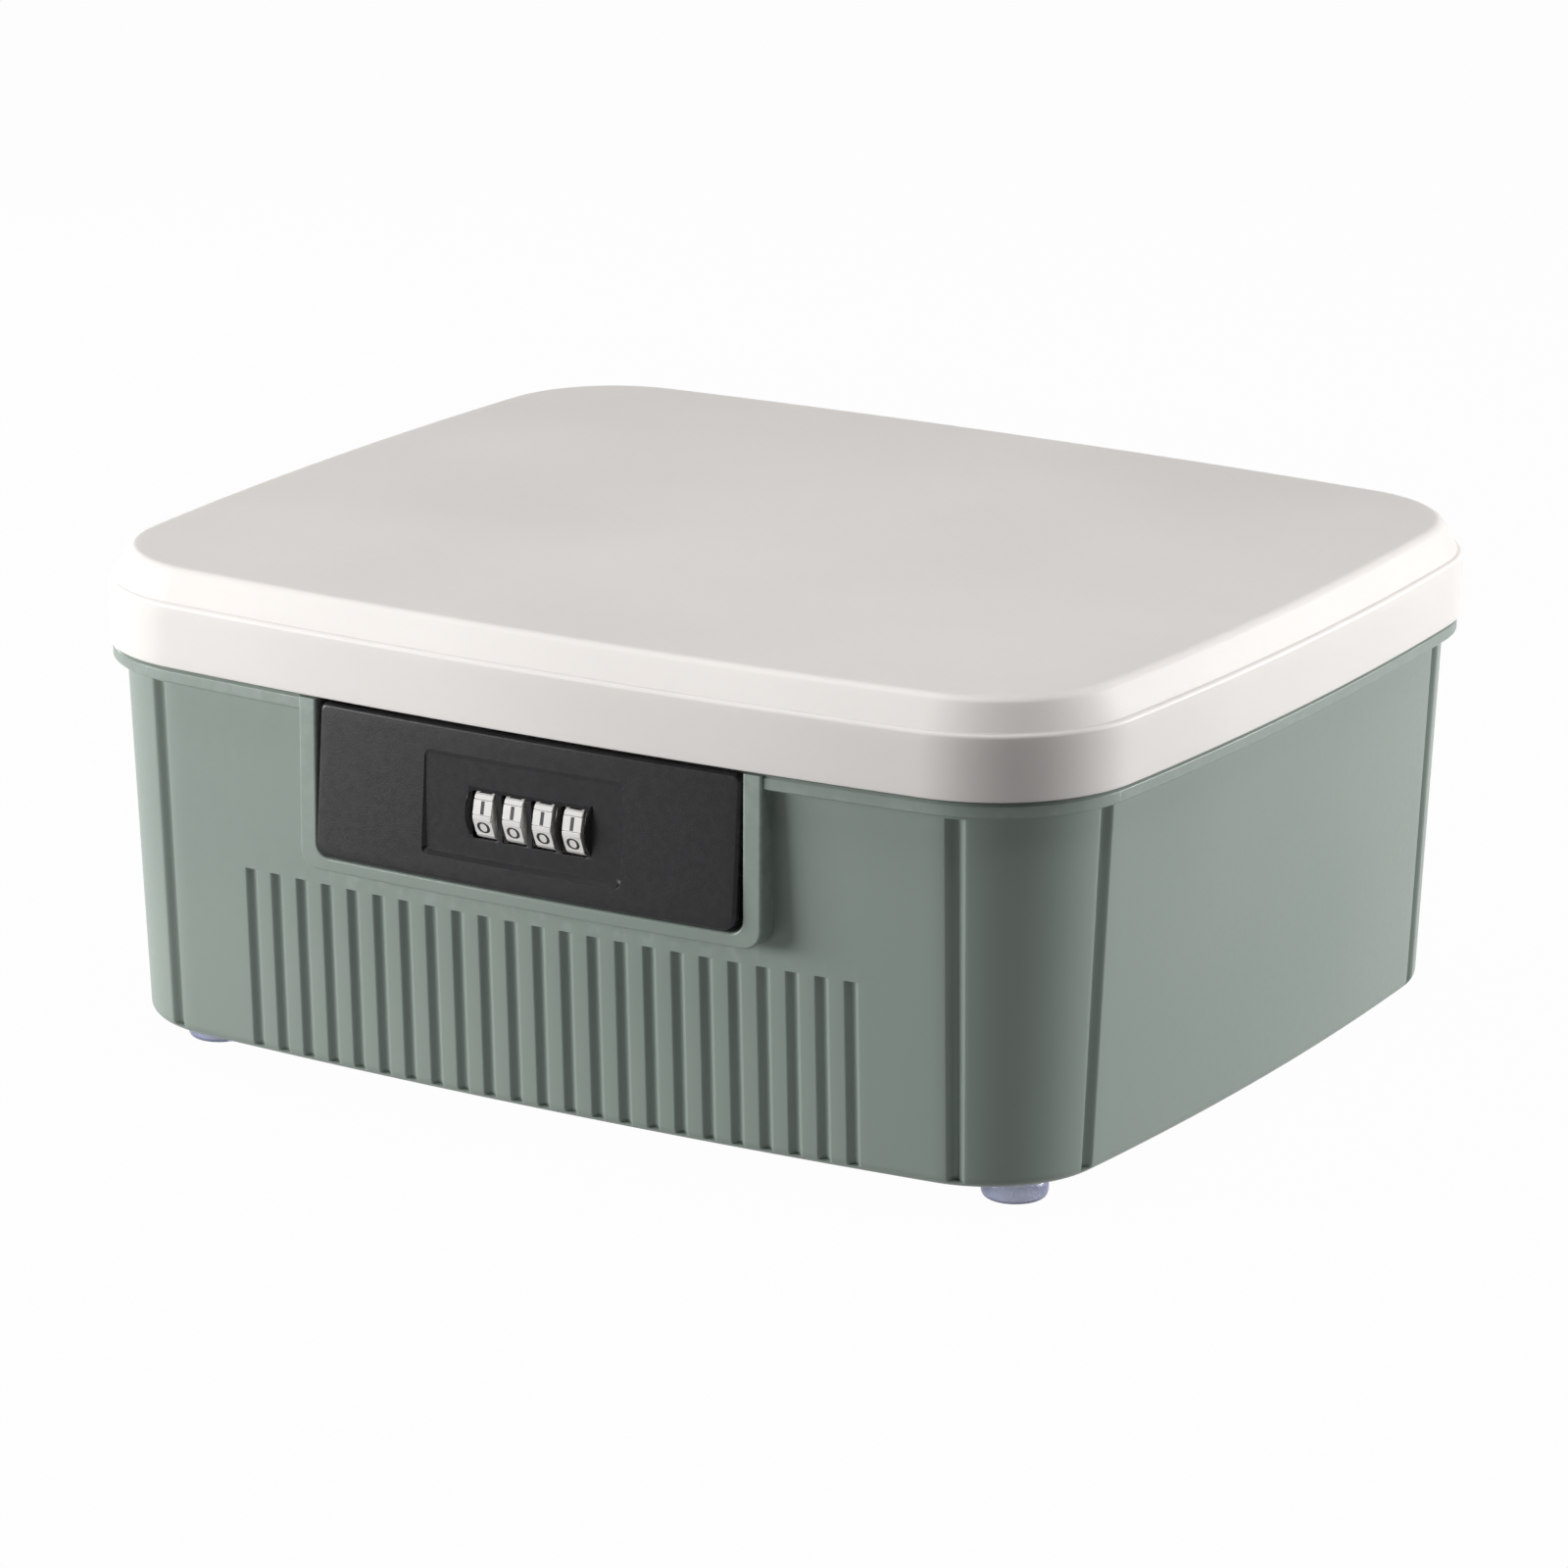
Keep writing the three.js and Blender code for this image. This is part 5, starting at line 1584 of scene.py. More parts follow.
@dataclass
class LockFlap:
    """The black cover with its stepped recess, four windows and the works' carriers."""

    half: float = 61.3
    top: float = SKIRT_EDGE - 1.3
    wall_top: float = SKIRT_EDGE - 2.2
    base: float = SKIRT_EDGE - 40.4
    wall: float = 2.2
    low_radius: float = 4.0
    high_radius: float = 2.0
    lean: float = 2.87
    edge_round: float = 1.0
    recess_half: float = 28.8
    recess_top: float = SKIRT_EDGE - 8.5
    recess_base: float = SKIRT_EDGE - 34.0
    recess_least: float = 0.1
    recess_most: float = 1.1
    ledge: float = 0.6
    steep: float = 0.5
    window_half: float = 3.6
    # The windows reach less far up than down, so the black panel covers where shade falls on the wheels'
    # upper facets: painted shade.
    window_rise: float = 5.7
    window_drop: float = 6.6
    bay_half: float = 18.2
    bay_height: float = 8.8
    bay_y: float = -125.7
    back_y: float = -113.0
    heel_y: float = -117.0
    heel_height: float = 2.8
    carrier_front: float = -125.4
    post_end: float = -109.5
    post_radius: float = 2.7
    cheek_back: float = -111.0
    cheek_near: float = 18.9
    cheek_far: float = 20.9
    knuckles: tuple[Pair, Pair] = ((46.8, 51.4), (56.6, 59.8))

    def surface(self, x: float, z: float) -> float:
        """Y of the cover's front."""
        share = (self.wall_top - z) / (self.wall_top - self.base)
        return OUTLINE.front_surface(x, 1.0) - self.lean * max(share, 0.0)

    def recess_depth(self, z: float) -> float:
        """How deep the recess is at a height."""
        share = (self.recess_top - z) / (self.recess_top - self.recess_base)
        return self.recess_least + (self.recess_most - self.recess_least) * min(max(share, 0.0), 1.05)

    def _edge(self, inset: float) -> list[Pair]:
        """The cover's outline, drawn in."""
        return box_outline(self.half - inset, self.base + inset, self.top - inset, self.low_radius - inset,
                           self.high_radius - inset, corner_steps=8, along=20)

    def _recess(self, inset: float) -> list[Pair]:
        """The recess's outline, drawn in."""
        radius = 1.3 - inset * 0.6
        return box_outline(self.recess_half - inset * self.steep, self.recess_base + inset,
                           self.recess_top - inset, radius, radius, along=12)

    def _window(self, number: int, inset: float) -> list[Pair]:
        """One window's outline, drawn in."""
        return box_outline(self.window_half - inset, DIALS.z - self.window_drop + inset,
                           DIALS.z + self.window_rise - inset, 0.5 - inset, 0.5 - inset,
                           DIALS.middle(number), along=3)

    def _bay(self) -> list[Pair]:
        """Outline of the hollow for the wheels, behind the windows."""
        return box_outline(self.bay_half, DIALS.z - self.bay_height, DIALS.z + self.bay_height, 0.8, 0.8,
                           DIALS.x)

    def panel(self) -> Form:
        """Builds the cover's front with its recess and windows."""
        form = Form()

        def placed(outline: list[Pair], depth: Depth) -> list[Point]:
            """An outline laid on a surface."""
            return [(x, depth(x, z), z) for x, z in outline]

        def front(x: float, z: float) -> float:
            """Y of the cover's front."""
            return self.surface(x, z)

        def floor(x: float, z: float) -> float:
            """Y of the recess's floor."""
            return self.surface(x, z) + self.recess_depth(z)

        def back(x: float, z: float) -> float:
            """Y of the cover's back."""
            return self.surface(x, z) + self.wall

        def bay(_x: float, z: float) -> float:
            """Y of the wheels' hollow, which keeps clear of their sweep."""
            scoop = DIALS.sweep**2 - (z - DIALS.z) ** 2
            return min(self.bay_y, DIALS.y - math.sqrt(max(scoop, 0.0)))

        def sunk(base: Depth, depth: float) -> Depth:
            """A surface moved back by a depth."""
            return lambda x, z: base(x, z) + depth

        def part_way(share: float) -> Depth:
            """A surface between the cover's front and the recess's floor."""
            return lambda x, z: self.surface(x, z) + self.recess_depth(z) * share

        def skin(outlines: Sequence[list[Pair]], depth: Depth, spacing: float) -> None:
            """Adds a surface that fills an outline round its holes."""
            points, faces = filled(outlines, spacing)
            form.add(placed(points, depth), faces)

        rounding = [math.radians(a) for a in (0, 22.5, 45, 67.5, 90)]
        r = self.edge_round
        sides = [placed(self._edge(r * (1 - math.sin(a))), sunk(front, r * (1 - math.cos(a))))
                 for a in rounding]
        form.loft(sides + [placed(self._edge(0), back)], closed=False)
        skin([self._edge(r), self._recess(-self.ledge)], front, 4.0)
        slope = [(1.0, 0.0), (0.86, 0.03), (0.75, 0.1), (-0.75, 0.9), (-0.86, 0.97), (-1.0, 1.0)]
        form.loft([placed(self._recess(-g * self.ledge), part_way(s)) for g, s in slope], closed=False)
        windows = range(DIALS.count)
        lip = 0.15
        skin([self._recess(self.ledge)] + [self._window(n, -lip) for n in windows], floor, 3.0)
        skin([self._edge(0), self._bay()], back, 5.0)
        skin([self._bay()] + [self._window(n, 0) for n in windows], bay, 1.2)
        form.loft([placed(self._bay(), back), placed(self._bay(), bay)], closed=False)
        for n in windows:
            mouth = [placed(self._window(n, -lip), floor), placed(self._window(n, -0.04), sunk(floor, 0.04)),
                     placed(self._window(n, 0), sunk(floor, lip)), placed(self._window(n, 0), bay)]
            form.loft(mouth, closed=False)
        return form

    def carriers(self) -> Form:
        """Builds the cover's side walls, the pivots' bosses and the posts for the back plate."""
        form = Form()
        outside = Notch(self.half, self.base, self.low_radius)
        inside = Notch(self.half - self.wall, self.base + self.wall, 2.4)
        heel = self.base + self.heel_height

        def start(path: list[Pair]) -> list[Point]:
            """A path laid on the back of the cover's front."""
            return [(x, self.surface(x, z) + self.wall, z) for x, z in path]

        def end(path: list[Pair]) -> list[Point]:
            """A path laid on the carriers' rear, which is stepped forward at the heel."""
            return [(x, self.heel_y if z < heel else self.back_y, z) for x, z in path]

        paths = (outside.path(self.wall_top), inside.path(self.wall_top))
        trough(form, [tuple(start(path) for path in paths), tuple(end(path) for path in paths)])
        face, rear = self.carrier_front, self.cheek_back
        for side in (-1, 1):
            cheek = sorted((DIALS.x + side * self.cheek_near, DIALS.x + side * self.cheek_far))
            form.block((cheek[0], face, SKIRT_EDGE - 31), (cheek[1], rear, SKIRT_EDGE - 13.5))
            for z in PLATE_SCREW_ROWS:
                form.rod_y(face + 1.5, self.post_end, side * PLATE_SCREW_X, z, self.post_radius)
            for near, far in self.knuckles:
                x0, x1 = sorted((side * near, side * far))
                ringed_bore(form, x0, x1, PIVOT_Y, PIVOT_Z, PIVOT_RADIUS, PIN_BORE)
                form.block((x0 + 0.05, -124.0, PIVOT_Z - 2.8), (x1 - 0.05, PIVOT_Y - 1.9, PIVOT_Z + 2.6))
        form.block((41.5, face + 1.2, SKIRT_EDGE - 32), (43.4, rear, SKIRT_EDGE - 15))
        return form

    def build(self, finishes: Finishes) -> None:
        """Builds the cover.

        Args:
            finishes: every finish of the box.
        """
        panel = ease(self.panel().piece("flap_panel"), sharp=40)
        seat(panel, Body.FLAP, Slot.BLACK, finishes.black, ["flap_cover"])
        inside = ease(self.carriers().piece("flap_carriers"), sharp=40)
        seat(inside, Body.FLAP, Slot.BLACK, finishes.black_inner)


# Code wheels

def ring_tree() -> NodeTree:
    """Geometry nodes that set copies of a shape in a ring about an axis along X.

    Returns:
        The tree.
    """
    tree, given, end = new_group("Facet Ring", "GeometryNodeTree", {
        "Geometry": Kind.GEOMETRY, "Count": 10, "First Angle": 0.0, "Centre": Kind.PLACE,
        "Finish": Kind.FINISH}, {"Geometry": Kind.GEOMETRY})
    spots = tree.node("GeometryNodeMeshLine", {"Count": given["Count"], "Start Location": given["Centre"],
                                               "Offset": (0.0, 0.0, 0.0)})
    number = tree.node("GeometryNodeInputIndex").outputs[0]
    step = tree.math("DIVIDE", 2 * math.pi, given["Count"])
    turn = tree.math("ADD", tree.math("MULTIPLY", number, step), given["First Angle"])
    turned = tree.node("ShaderNodeCombineXYZ", {"X": turn})
    spin = tree.node("FunctionNodeEulerToRotation", {0: turned.outputs[0]})
    ring = tree.node("GeometryNodeInstanceOnPoints", {
        "Points": spots.outputs[0], "Instance": given["Geometry"], "Rotation": spin.outputs[0]})
    tree.put_out(ring.outputs[0], given["Finish"], end)
    return tree.tree


def joined(first: Piece, *others: Piece) -> Piece:
    """Puts the meshes of other pieces into a first one and deletes those pieces.

    Args:
        first: the piece that is kept.
        others: the pieces that it takes up.

    Returns:
        The first piece.
    """
    work = bmesh.new()
    for piece in (first, *others):
        work.from_mesh(piece.data)
    work.to_mesh(first.data)
    work.free()
    for piece in others:
        bpy.data.objects.remove(piece, do_unlink=True)
    return first


@dataclass
class CodeWheels:
    """Four ten-sided wheels with a figure on each facet and a raised bar between two facets."""

    width: float = 5.4
    sides: int = 10
    facet_radius: float = 8.4
    core_radius: float = 8.0
    bore: float = 5.3
    bar_half: float = 0.68
    bar_face: float = 8.72
    bar_gap: float = 0.14
    stroke: float = 1.0
    figure_height: float = 3.35
    figure_width: float = 3.7
    figure_thickness: float = 0.03
    front_figure: int = 1

    @property
    def _half_step(self) -> float:
        """Half of the angle between two facets."""
        return math.pi / self.sides

    def _axis(self, number: int) -> Vector:
        """The centre of a wheel, numbered from 1, in the model's frame."""
        return Vector((DIALS.middle(number - 1), DIALS.y + MIDDLE_Y, DIALS.z)) * MM

    def _facet(self) -> Piece:
        """Builds one facet with the bar above it, facing -Y about the origin.

        Returns:
            A piece that the ring repeats.
        """
        angle = self._half_step
        low = self.core_radius - 0.3
        reach = self.facet_radius * math.tan(angle) - (self.bar_half + self.bar_gap) / math.cos(angle)
        pad = [(-low, -reach), (-self.facet_radius, -reach), (-self.facet_radius, reach), (-low, reach)]
        half = self.bar_half
        bar = []
        for out, across in ((low, -half), (self.bar_face, -half), (self.bar_face, half), (low, half)):
            bar.append((-out * math.cos(angle) + across * math.sin(angle),
                        out * math.sin(angle) + across * math.cos(angle)))
        pieces = []
        for name, section, rounding in (("facet_pad", pad, 0.1), ("facet_bar", bar, 0.22)):
            form = Form()
            form.prism_x([(y - MIDDLE_Y, z) for y, z in section], 0.0, self.width)
            pieces.append(ease(form.piece(name), width=rounding, sharp=30))
        return joined(*pieces)

    def wheel(self, number: int, tree: NodeTree, finish: Finish) -> Piece:
        """Builds one wheel of facets and bars round a core.

        Args:
            number: number of the wheel, from 1.
            tree: the ring's geometry nodes.
            finish: material of the wheel.

        Returns:
            The piece.
        """
        facet = self._facet()
        facet.name = f"code_wheel_{number}"
        ring = run_tree(facet, tree, {
            "Count": self.sides, "First Angle": -math.radians(DIALS.tilt), "Centre": self._axis(number),
            "Finish": finish})
        core = Form()
        x = DIALS.middle(number - 1)
        ringed_bore(core, x - self.width / 2 + 0.15, x + self.width / 2 - 0.15, DIALS.y, DIALS.z,
                    self.core_radius, self.bore, eased=0.2, steps=60)
        return joined(ring, ease(core.piece("wheel_core"), sharp=40))

    def _figure(self, value: int) -> bpy.types.Mesh:
        """Builds one figure, upright in the X and Z plane about the origin and facing -Y.

        Args:
            value: the figure, 0 to 9.

        Returns:
            Its mesh.
        """
        curve = bpy.data.curves.new(f"figure_{value}", "FONT")
        curve.body = str(value)
        curve.size = MM
        curve.extrude = self.figure_thickness / 2 * MM
        curve.resolution_u = 6
        holder = new_object(f"figure_{value}", curve)
        graph = bpy.context.evaluated_depsgraph_get()
        mesh = bpy.data.meshes.new_from_object(holder.evaluated_get(graph), depsgraph=graph)
        bpy.data.objects.remove(holder, do_unlink=True)
        corners = np.array([c.co for c in mesh.vertices])
        low, high = corners.min(axis=0), corners.max(axis=0)
        wide, tall, _ = high - low
        width = self.stroke if value == 1 else self.figure_width
        size = Matrix.Diagonal((width * MM / wide, self.figure_height * MM / tall, 1, 1))
        centred = Matrix.Translation((-(low[0] + high[0]) / 2, -(low[1] + high[1]) / 2, 0))
        mesh.transform(Matrix.Rotation(math.radians(90), 4, "X") @ size @ centred)
        return mesh

    def figures(self, number: int) -> Piece:
        """Builds the ten figures of one wheel, flat on its facets.

        Args:
            number: number of the wheel, from 1.

        Returns:
            The piece.
        """
        pieces = []
        for value in range(self.sides):
            mesh = self._figure(value)
            forward = Matrix.Translation((0, -(self.facet_radius + self.figure_thickness / 3) * MM, 0))
            steps = self.front_figure - value
            angle = 2 * self._half_step * steps - math.radians(DIALS.tilt)
            turned = Matrix.Rotation(angle, 4, "X")
            mesh.transform(Matrix.Translation(self._axis(number)) @ turned @ forward)
            pieces.append(new_object(f"wheel_{number}_figures", mesh))
        return joined(*pieces)

    def build(self, finishes: Finishes) -> None:
        """Builds every wheel with its figures.

        Args:
            finishes: every finish of the box.
        """
        tree = ring_tree()
        for number in range(1, DIALS.count + 1):
            body = f"dial_{number}"
            wheel = self.wheel(number, tree, finishes.dial)
            seat(wheel, body, Slot.DIAL, finishes.dial, [f"dial_wheel_{number}"])
            seat(self.figures(number), body, Slot.BLACK, finishes.ink)


# Works and fasteners

def pattern_tree() -> NodeTree:
    """Geometry nodes that set one fastener at each point of a mesh.

    Returns:
        The tree.
    """
    tree, given, end = new_group("Fastener Pattern", "GeometryNodeTree", {
        "Geometry": Kind.GEOMETRY, "Fastener": Kind.OBJECT, "Size": 1.0, "Finish": Kind.FINISH}, {
            "Geometry": Kind.GEOMETRY})
    shape = tree.node("GeometryNodeObjectInfo", {"Object": given["Fastener"]}, transform_space="ORIGINAL")
    spread = tree.node("GeometryNodeInstanceOnPoints", {
        "Points": given["Geometry"], "Instance": shape.outputs["Geometry"], "Scale": given["Size"]})
    tree.put_out(spread.outputs[0], given["Finish"], end)
    return tree.tree


def coil_tree() -> NodeTree:
    """Geometry nodes that wind a round wire into a compression spring along Z.

    Returns:
        The tree.
    """
    tree, given, end = new_group("Wire Coil", "GeometryNodeTree", {
        "Geometry": Kind.GEOMETRY, "Turns": 5.0, "Coil Radius": 0.0019, "Length": 0.0054,
        "Wire Radius": 0.0003, "Start": Kind.PLACE, "Finish": Kind.FINISH}, {"Geometry": Kind.GEOMETRY})
    path = tree.node("GeometryNodeCurveSpiral", {
        "Resolution": 28, "Rotations": given["Turns"], "Start Radius": given["Coil Radius"],
        "End Radius": given["Coil Radius"], "Height": given["Length"]})
    wire = tree.node("GeometryNodeCurvePrimitiveCircle", {"Resolution": 12, "Radius": given["Wire Radius"]})
    wound = tree.node("GeometryNodeCurveToMesh", {
        "Curve": path.outputs[0], "Profile Curve": wire.outputs[0], "Fill Caps": True})
    laid = tree.node("GeometryNodeTransform", {
        "Geometry": wound.outputs[0], "Translation": given["Start"],
        "Rotation": (0.0, math.pi / 2, 0.0)})
    tree.put_out(laid.outputs[0], given["Finish"], end)
    return tree.tree


@dataclass
class Works:
    """Screws, pins, keeper, latch and the wheels' sleeves."""

    plate_head_y: float = -107.4
    plate_head: float = 2.5
    keeper_head_y: float = -105.6
    keeper_head: float = 2.8
    head_thickness: float = 1.1
    spring_length: float = 5.4
    spring_travel: float = 1.9
    spring_turns: float = 5.0
    spring_radius: float = 1.9
    wire_radius: float = 0.3
    spring_start: Point = (35.6, -113.2, SKIRT_EDGE - 25)

    def screw(self, shank: float, reach: float, head: float, thick: float) -> Piece:
        """Builds a pan-head screw with a cross recess, its head facing +Y from the origin.

        Args:
            shank: radius of the shank.
            reach: length of the shank below the head.
            head: radius of the head.
            thick: thickness of the head.

        Returns:
            A piece that the pattern copies.
        """
        steps = 48
        angles = [2 * math.pi * i / steps for i in range(steps)]
        half_width, arm = head * 0.12, head * 0.55

        def circle(radius: float, y: float) -> list[Point]:
            """A round of the screw."""
            return [(radius * math.cos(a), y - MIDDLE_Y, radius * math.sin(a)) for a in angles]

        def cross(size: float, y: float) -> list[Point]:
            """A round of the cross recess."""
            points = []
            for a in angles:
                local = (a + math.pi / 4) % (math.pi / 2) - math.pi / 4
                near = arm / math.cos(local)
                side = half_width / max(abs(math.sin(local)), 1e-6)
                radius = size * min(near, side)
                points.append((radius * math.cos(a), y - MIDDLE_Y, radius * math.sin(a)))
            return points

        form = Form()
        form.loft([circle(shank * 0.6, -reach), circle(shank, -reach + 0.6), circle(shank, 0.0),
                   circle(head - 0.1, 0.0), circle(head, 0.12), circle(head, thick * 0.45),
                   circle(head * 0.93, thick * 0.75), circle(head * 0.78, thick * 0.93),
                   circle(head * 0.62, thick), cross(1.0, thick), cross(0.7, thick * 0.35)])
        return ease(form.piece("screw_pattern"), sharp=35)

    def fasteners(self, finishes: Finishes) -> None:
        """Builds the back plate's and the keeper's screws.

        Args:
            finishes: every finish of the box.
        """
        tree = pattern_tree()
        plate_spots = [(side * PLATE_SCREW_X, z) for z in PLATE_SCREW_ROWS for side in (-1, 1)]
        keeper_spots = [(side * KEEPER_SCREW_X, KEEPER_SCREW_Z) for side in (-1, 1)]
        plate_screw = self.screw(1.2, 11.4, self.plate_head, self.head_thickness)
        keeper_screw = self.screw(1.4, 7.6, self.keeper_head, self.head_thickness)
        keeper_screw.data.transform(Matrix.Rotation(math.pi, 4, "Z"))
        groups = (
            ("back_plate_screws", Body.FLAP, plate_spots, self.plate_head_y, plate_screw,
             [f"back_plate_screw_{n}" for n in range(1, 5)]),
            ("keeper_screws", Body.TUB, keeper_spots, self.keeper_head_y, keeper_screw,
             ["keeper_screw_left", "keeper_screw_right"]),
        )
        for name, body, spots, y, pattern, nodes in groups:
            form = Form()
            form.add([(x, y, z) for x, z in spots], [])
            values = {"Fastener": pattern, "Size": 1.0, "Finish": finishes.steel}
            piece = run_tree(form.piece(name), tree, values)
            bpy.data.objects.remove(pattern, do_unlink=True)
            seat(piece, body, Slot.STEEL, finishes.steel, nodes)

    def spring(self, finishes: Finishes) -> None:
        """Builds the latch's return spring.

        Args:
            finishes: every finish of the box.
        """
        length = self.spring_length
        x, y, z = self.spring_start
        start = Vector((x, y + MIDDLE_Y, z)) * MM
        piece = run_tree(Form().piece("latch_return_spring"), coil_tree(), {
            "Turns": self.spring_turns, "Coil Radius": self.spring_radius * MM, "Length": length * MM,
            "Wire Radius": self.wire_radius * MM, "Start": start, "Finish": finishes.steel})
        for face in piece.data.polygons:
            face.use_smooth = True
        seat(piece, Body.FLAP, Slot.STEEL, finishes.steel, ["latch_spring"])
        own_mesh(piece)

    def kept_nodes(self, finishes: Finishes) -> None:
        """Eases and dresses the model's own solids that the scene keeps.

        Args:
            finishes: every finish of the box.
        """
        choice = {Slot.STEEL.value: finishes.steel, Slot.BRASS.value: finishes.brass,
                  Slot.BLACK.value: finishes.black_inner, Slot.GREEN.value: finishes.green_inner,
                  Slot.WHITE.value: finishes.white, Slot.DIAL.value: finishes.dial,
                  Slot.RUBBER.value: finishes.rubber}
        slots = {part["node"]: part["material_slot"] for part in frame["record"]["subparts"]}
        for name, node in frame["nodes"].items():
            node.data.materials.clear()
            node.data.materials.append(choice[slots[name]])
            if node.hide_render:
                continue
            for face in node.data.polygons:
                face.use_smooth = True
            weld = node.modifiers.new("weld", "WELD")
            weld.merge_threshold = 0.002 * MM
            rounding = node.modifiers.new("edge rounding", "BEVEL")
            rounding.width = 0.12 * MM
            rounding.segments = 2
            rounding.limit_method = "ANGLE"
            rounding.angle_limit = math.radians(35)
            smoothing = node.modifiers.new("weighted shading", "WEIGHTED_NORMAL")
            smoothing.weight = 80
            LOG.info("%s: kept from the model", name)

    def build(self, finishes: Finishes) -> None:
        """Builds the fasteners and the spring, and dresses what is kept.

        Args:
            finishes: every finish of the box.
        """
        self.fasteners(finishes)
        self.spring(finishes)
        self.kept_nodes(finishes)


# Studio

def towards(azimuth: float, elevation: float) -> Vector:
    """Unit direction from the box.

    Args:
        azimuth: compass angle in degrees, 0 in front of the box and 90 to its right.
        elevation: height above the horizon in degrees.

    Returns:
        The direction.
    """
    turn, rise = math.radians(azimuth), math.radians(elevation)
    return Vector((math.sin(turn) * math.cos(rise), -math.cos(turn) * math.cos(rise), math.sin(rise)))


def camera_view() -> Piece:
    """Sets the camera at the photograph's viewing angle.

    Returns:
        The camera.
    """
    azimuth = 31.054
    elevation = 16.316
    roll = math.radians(0.28)
    distance = 1898.2
    slide = (-1.658, -42.23)
    focal = 7503.74
    sensor = 36.0
    image = 1600.0
    back = towards(azimuth, elevation)
    level = Vector((0, 0, 1)).cross(back).normalized()
    upright = back.cross(level)
    right = level * math.cos(roll) + upright * math.sin(roll)
    up = upright * math.cos(roll) - level * math.sin(roll)
    place = back * distance + right * slide[0] + up * slide[1] + Vector((0, MIDDLE_Y, SKIRT_EDGE))
    data = bpy.data.cameras.new("photo_camera")
    data.sensor_width = sensor
    data.lens = focal * sensor / image
    data.clip_end = 20
    camera = new_object("photo_camera", data)
    camera.matrix_world = Matrix((
        (right.x, up.x, back.x, place.x * MM), (right.y, up.y, back.y, place.y * MM),
        (right.z, up.z, back.z, place.z * MM), (0, 0, 0, 1)))
    bpy.context.scene.camera = camera
    return camera


@dataclass(frozen=True)
class SoftBox:
    """A large soft lamp.

    Args:
        name: name of the lamp.
        azimuth: compass angle in degrees, 0 in front of the box and 90 to its right.
        elevation: height above the horizon in degrees.
        distance: distance from the box in metres.
        width: width in metres.
        height: height in metres.
        power: power in watts.
        tint: colour code.
    """

    name: str
    azimuth: float
    elevation: float
    distance: float
    width: float
    height: float
    power: float
    tint: str = "ffffff"

    def build(self) -> Piece:
        """Builds the lamp.

        Returns:
            The lamp, which faces the box.
        """
        aim = Vector((0, 0, 0.06))
        data = bpy.data.lights.new(self.name, "AREA")
        data.shape = "RECTANGLE"
        data.size = self.width
        data.size_y = self.height
        data.energy = self.power
        data.color = colour(self.tint)[:3]
        lamp = new_object(self.name, data)
        back = towards(self.azimuth, self.elevation)
        lamp.location = back * self.distance + aim
        lamp.rotation_mode = "QUATERNION"
        lamp.rotation_quaternion = back.to_track_quat("Z", "Y")
        return lamp


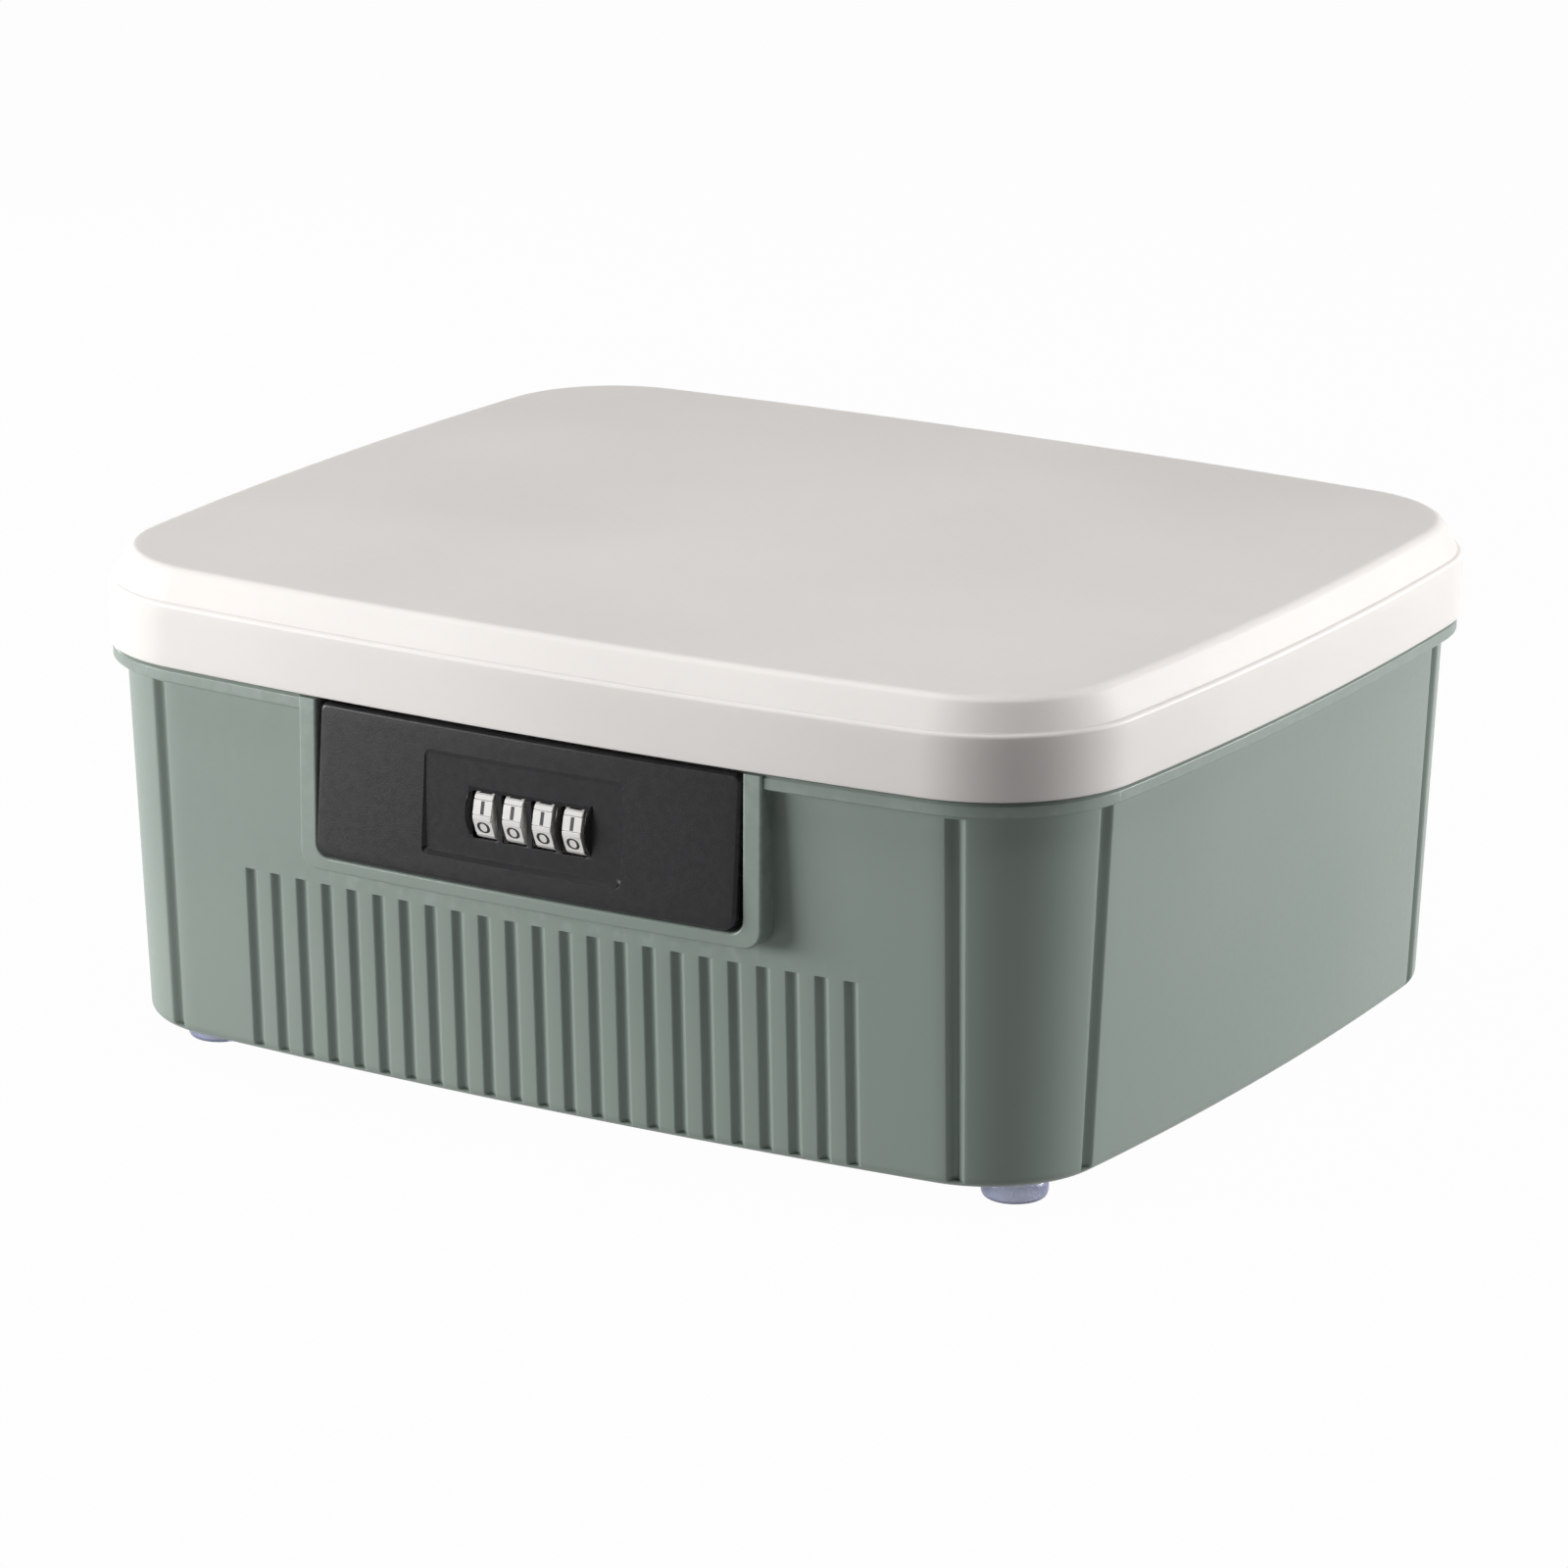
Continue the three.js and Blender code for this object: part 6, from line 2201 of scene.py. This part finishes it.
class Studio:
    """A pale floor, soft lamps, a white surround and the camera."""

    floor_tone = 0.32
    floor_seen = 0.98
    floor_mirrored = 0.75
    world_light = 0.01
    lamps = (
        SoftBox("left softbox", -110, 8, 1.0, 0.6, 0.3, 3.0),
        SoftBox("left front softbox", -52, 8, 1.7, 1.0, 0.5, 31.0),
        SoftBox("right rear softbox", 130, 8, 1.7, 1.0, 0.5, 28.5),
        SoftBox("high left softbox", -60, 70, 1.2, 0.7, 0.7, 4.8),
        SoftBox("high right softbox", 60, 70, 1.2, 0.7, 0.7, 5.8),
    )

    def floor(self) -> Piece:
        """Builds the floor.

        Returns:
            The floor.
        """
        half = 6.0
        mesh = bpy.data.meshes.new("studio_floor")
        mesh.from_pydata([(-half, -half, 0), (half, -half, 0), (half, half, 0), (-half, half, 0)], [],
                         [(0, 1, 2, 3)])
        floor = new_object("studio_floor", mesh)
        material, tree, shader = new_material("pale studio floor")
        tone = (self.floor_tone, self.floor_tone, self.floor_tone, 1)
        tree.fill(shader, {"Base Color": tone, "Roughness": 0.9, "Specular IOR Level": 0.0})
        output = next(n for n in material.node_tree.nodes if n.type == "OUTPUT_MATERIAL")
        seen = self._seen_directly(tree)
        white = tree.node("ShaderNodeEmission", {"Color": (1, 1, 1, 1), "Strength": 1.0})
        blend = tree.node("ShaderNodeMixShader", {
            0: tree.math("MULTIPLY", seen, self.floor_seen), 1: shader.outputs[0], 2: white.outputs[0]})
        tree.feed(output.inputs["Surface"], blend.outputs[0])
        floor.data.materials.append(material)
        return floor

    def _seen_directly(self, tree: Tree) -> Socket:
        """Output that is 1 for rays from the camera or through clear rubber, and less for mirrored ones.

        Args:
            tree: the floor's node tree.

        Returns:
            The output.
        """
        path = tree.node("ShaderNodeLightPath").outputs
        mirrored = tree.math("MULTIPLY", path["Is Glossy Ray"], self.floor_mirrored)
        seen = tree.math("MAXIMUM", path["Is Camera Ray"], mirrored)
        return tree.math("MAXIMUM", seen, path["Is Transmission Ray"])

    def surround(self) -> None:
        """Sets a white surround that gives only a little light."""
        world = bpy.data.worlds.new("white surround")
        world.use_nodes = True
        bpy.context.scene.world = world
        tree = Tree(world.node_tree)
        background = world.node_tree.nodes["Background"]
        background.inputs["Color"].default_value = (1, 1, 1, 1)
        path = tree.node("ShaderNodeLightPath").outputs
        seen = tree.math("MAXIMUM", path["Is Camera Ray"], path["Is Transmission Ray"])
        strength = tree.math("MULTIPLY_ADD", seen, 1 - self.world_light, self.world_light)
        tree.feed(background.inputs["Strength"], strength)

    def build(self) -> None:
        """Builds the studio."""
        camera_view()
        self.floor()
        self.surround()
        for lamp in self.lamps:
            lamp.build()
        settings = bpy.context.scene.view_settings
        settings.view_transform = "Standard"


def main() -> None:
    """Builds the box and its studio in order."""
    logging.basicConfig(level=logging.INFO, format="%(message)s")
    finishes = Finishes()
    tub = Tub()
    TubFittings(tub).build(finishes)
    Feet(tub).build(finishes)
    Lid().build(finishes)
    LockFlap().build(finishes)
    CodeWheels().build(finishes)
    Works().build(finishes)
    Studio().build()


if __name__ == "__main__":
    main()
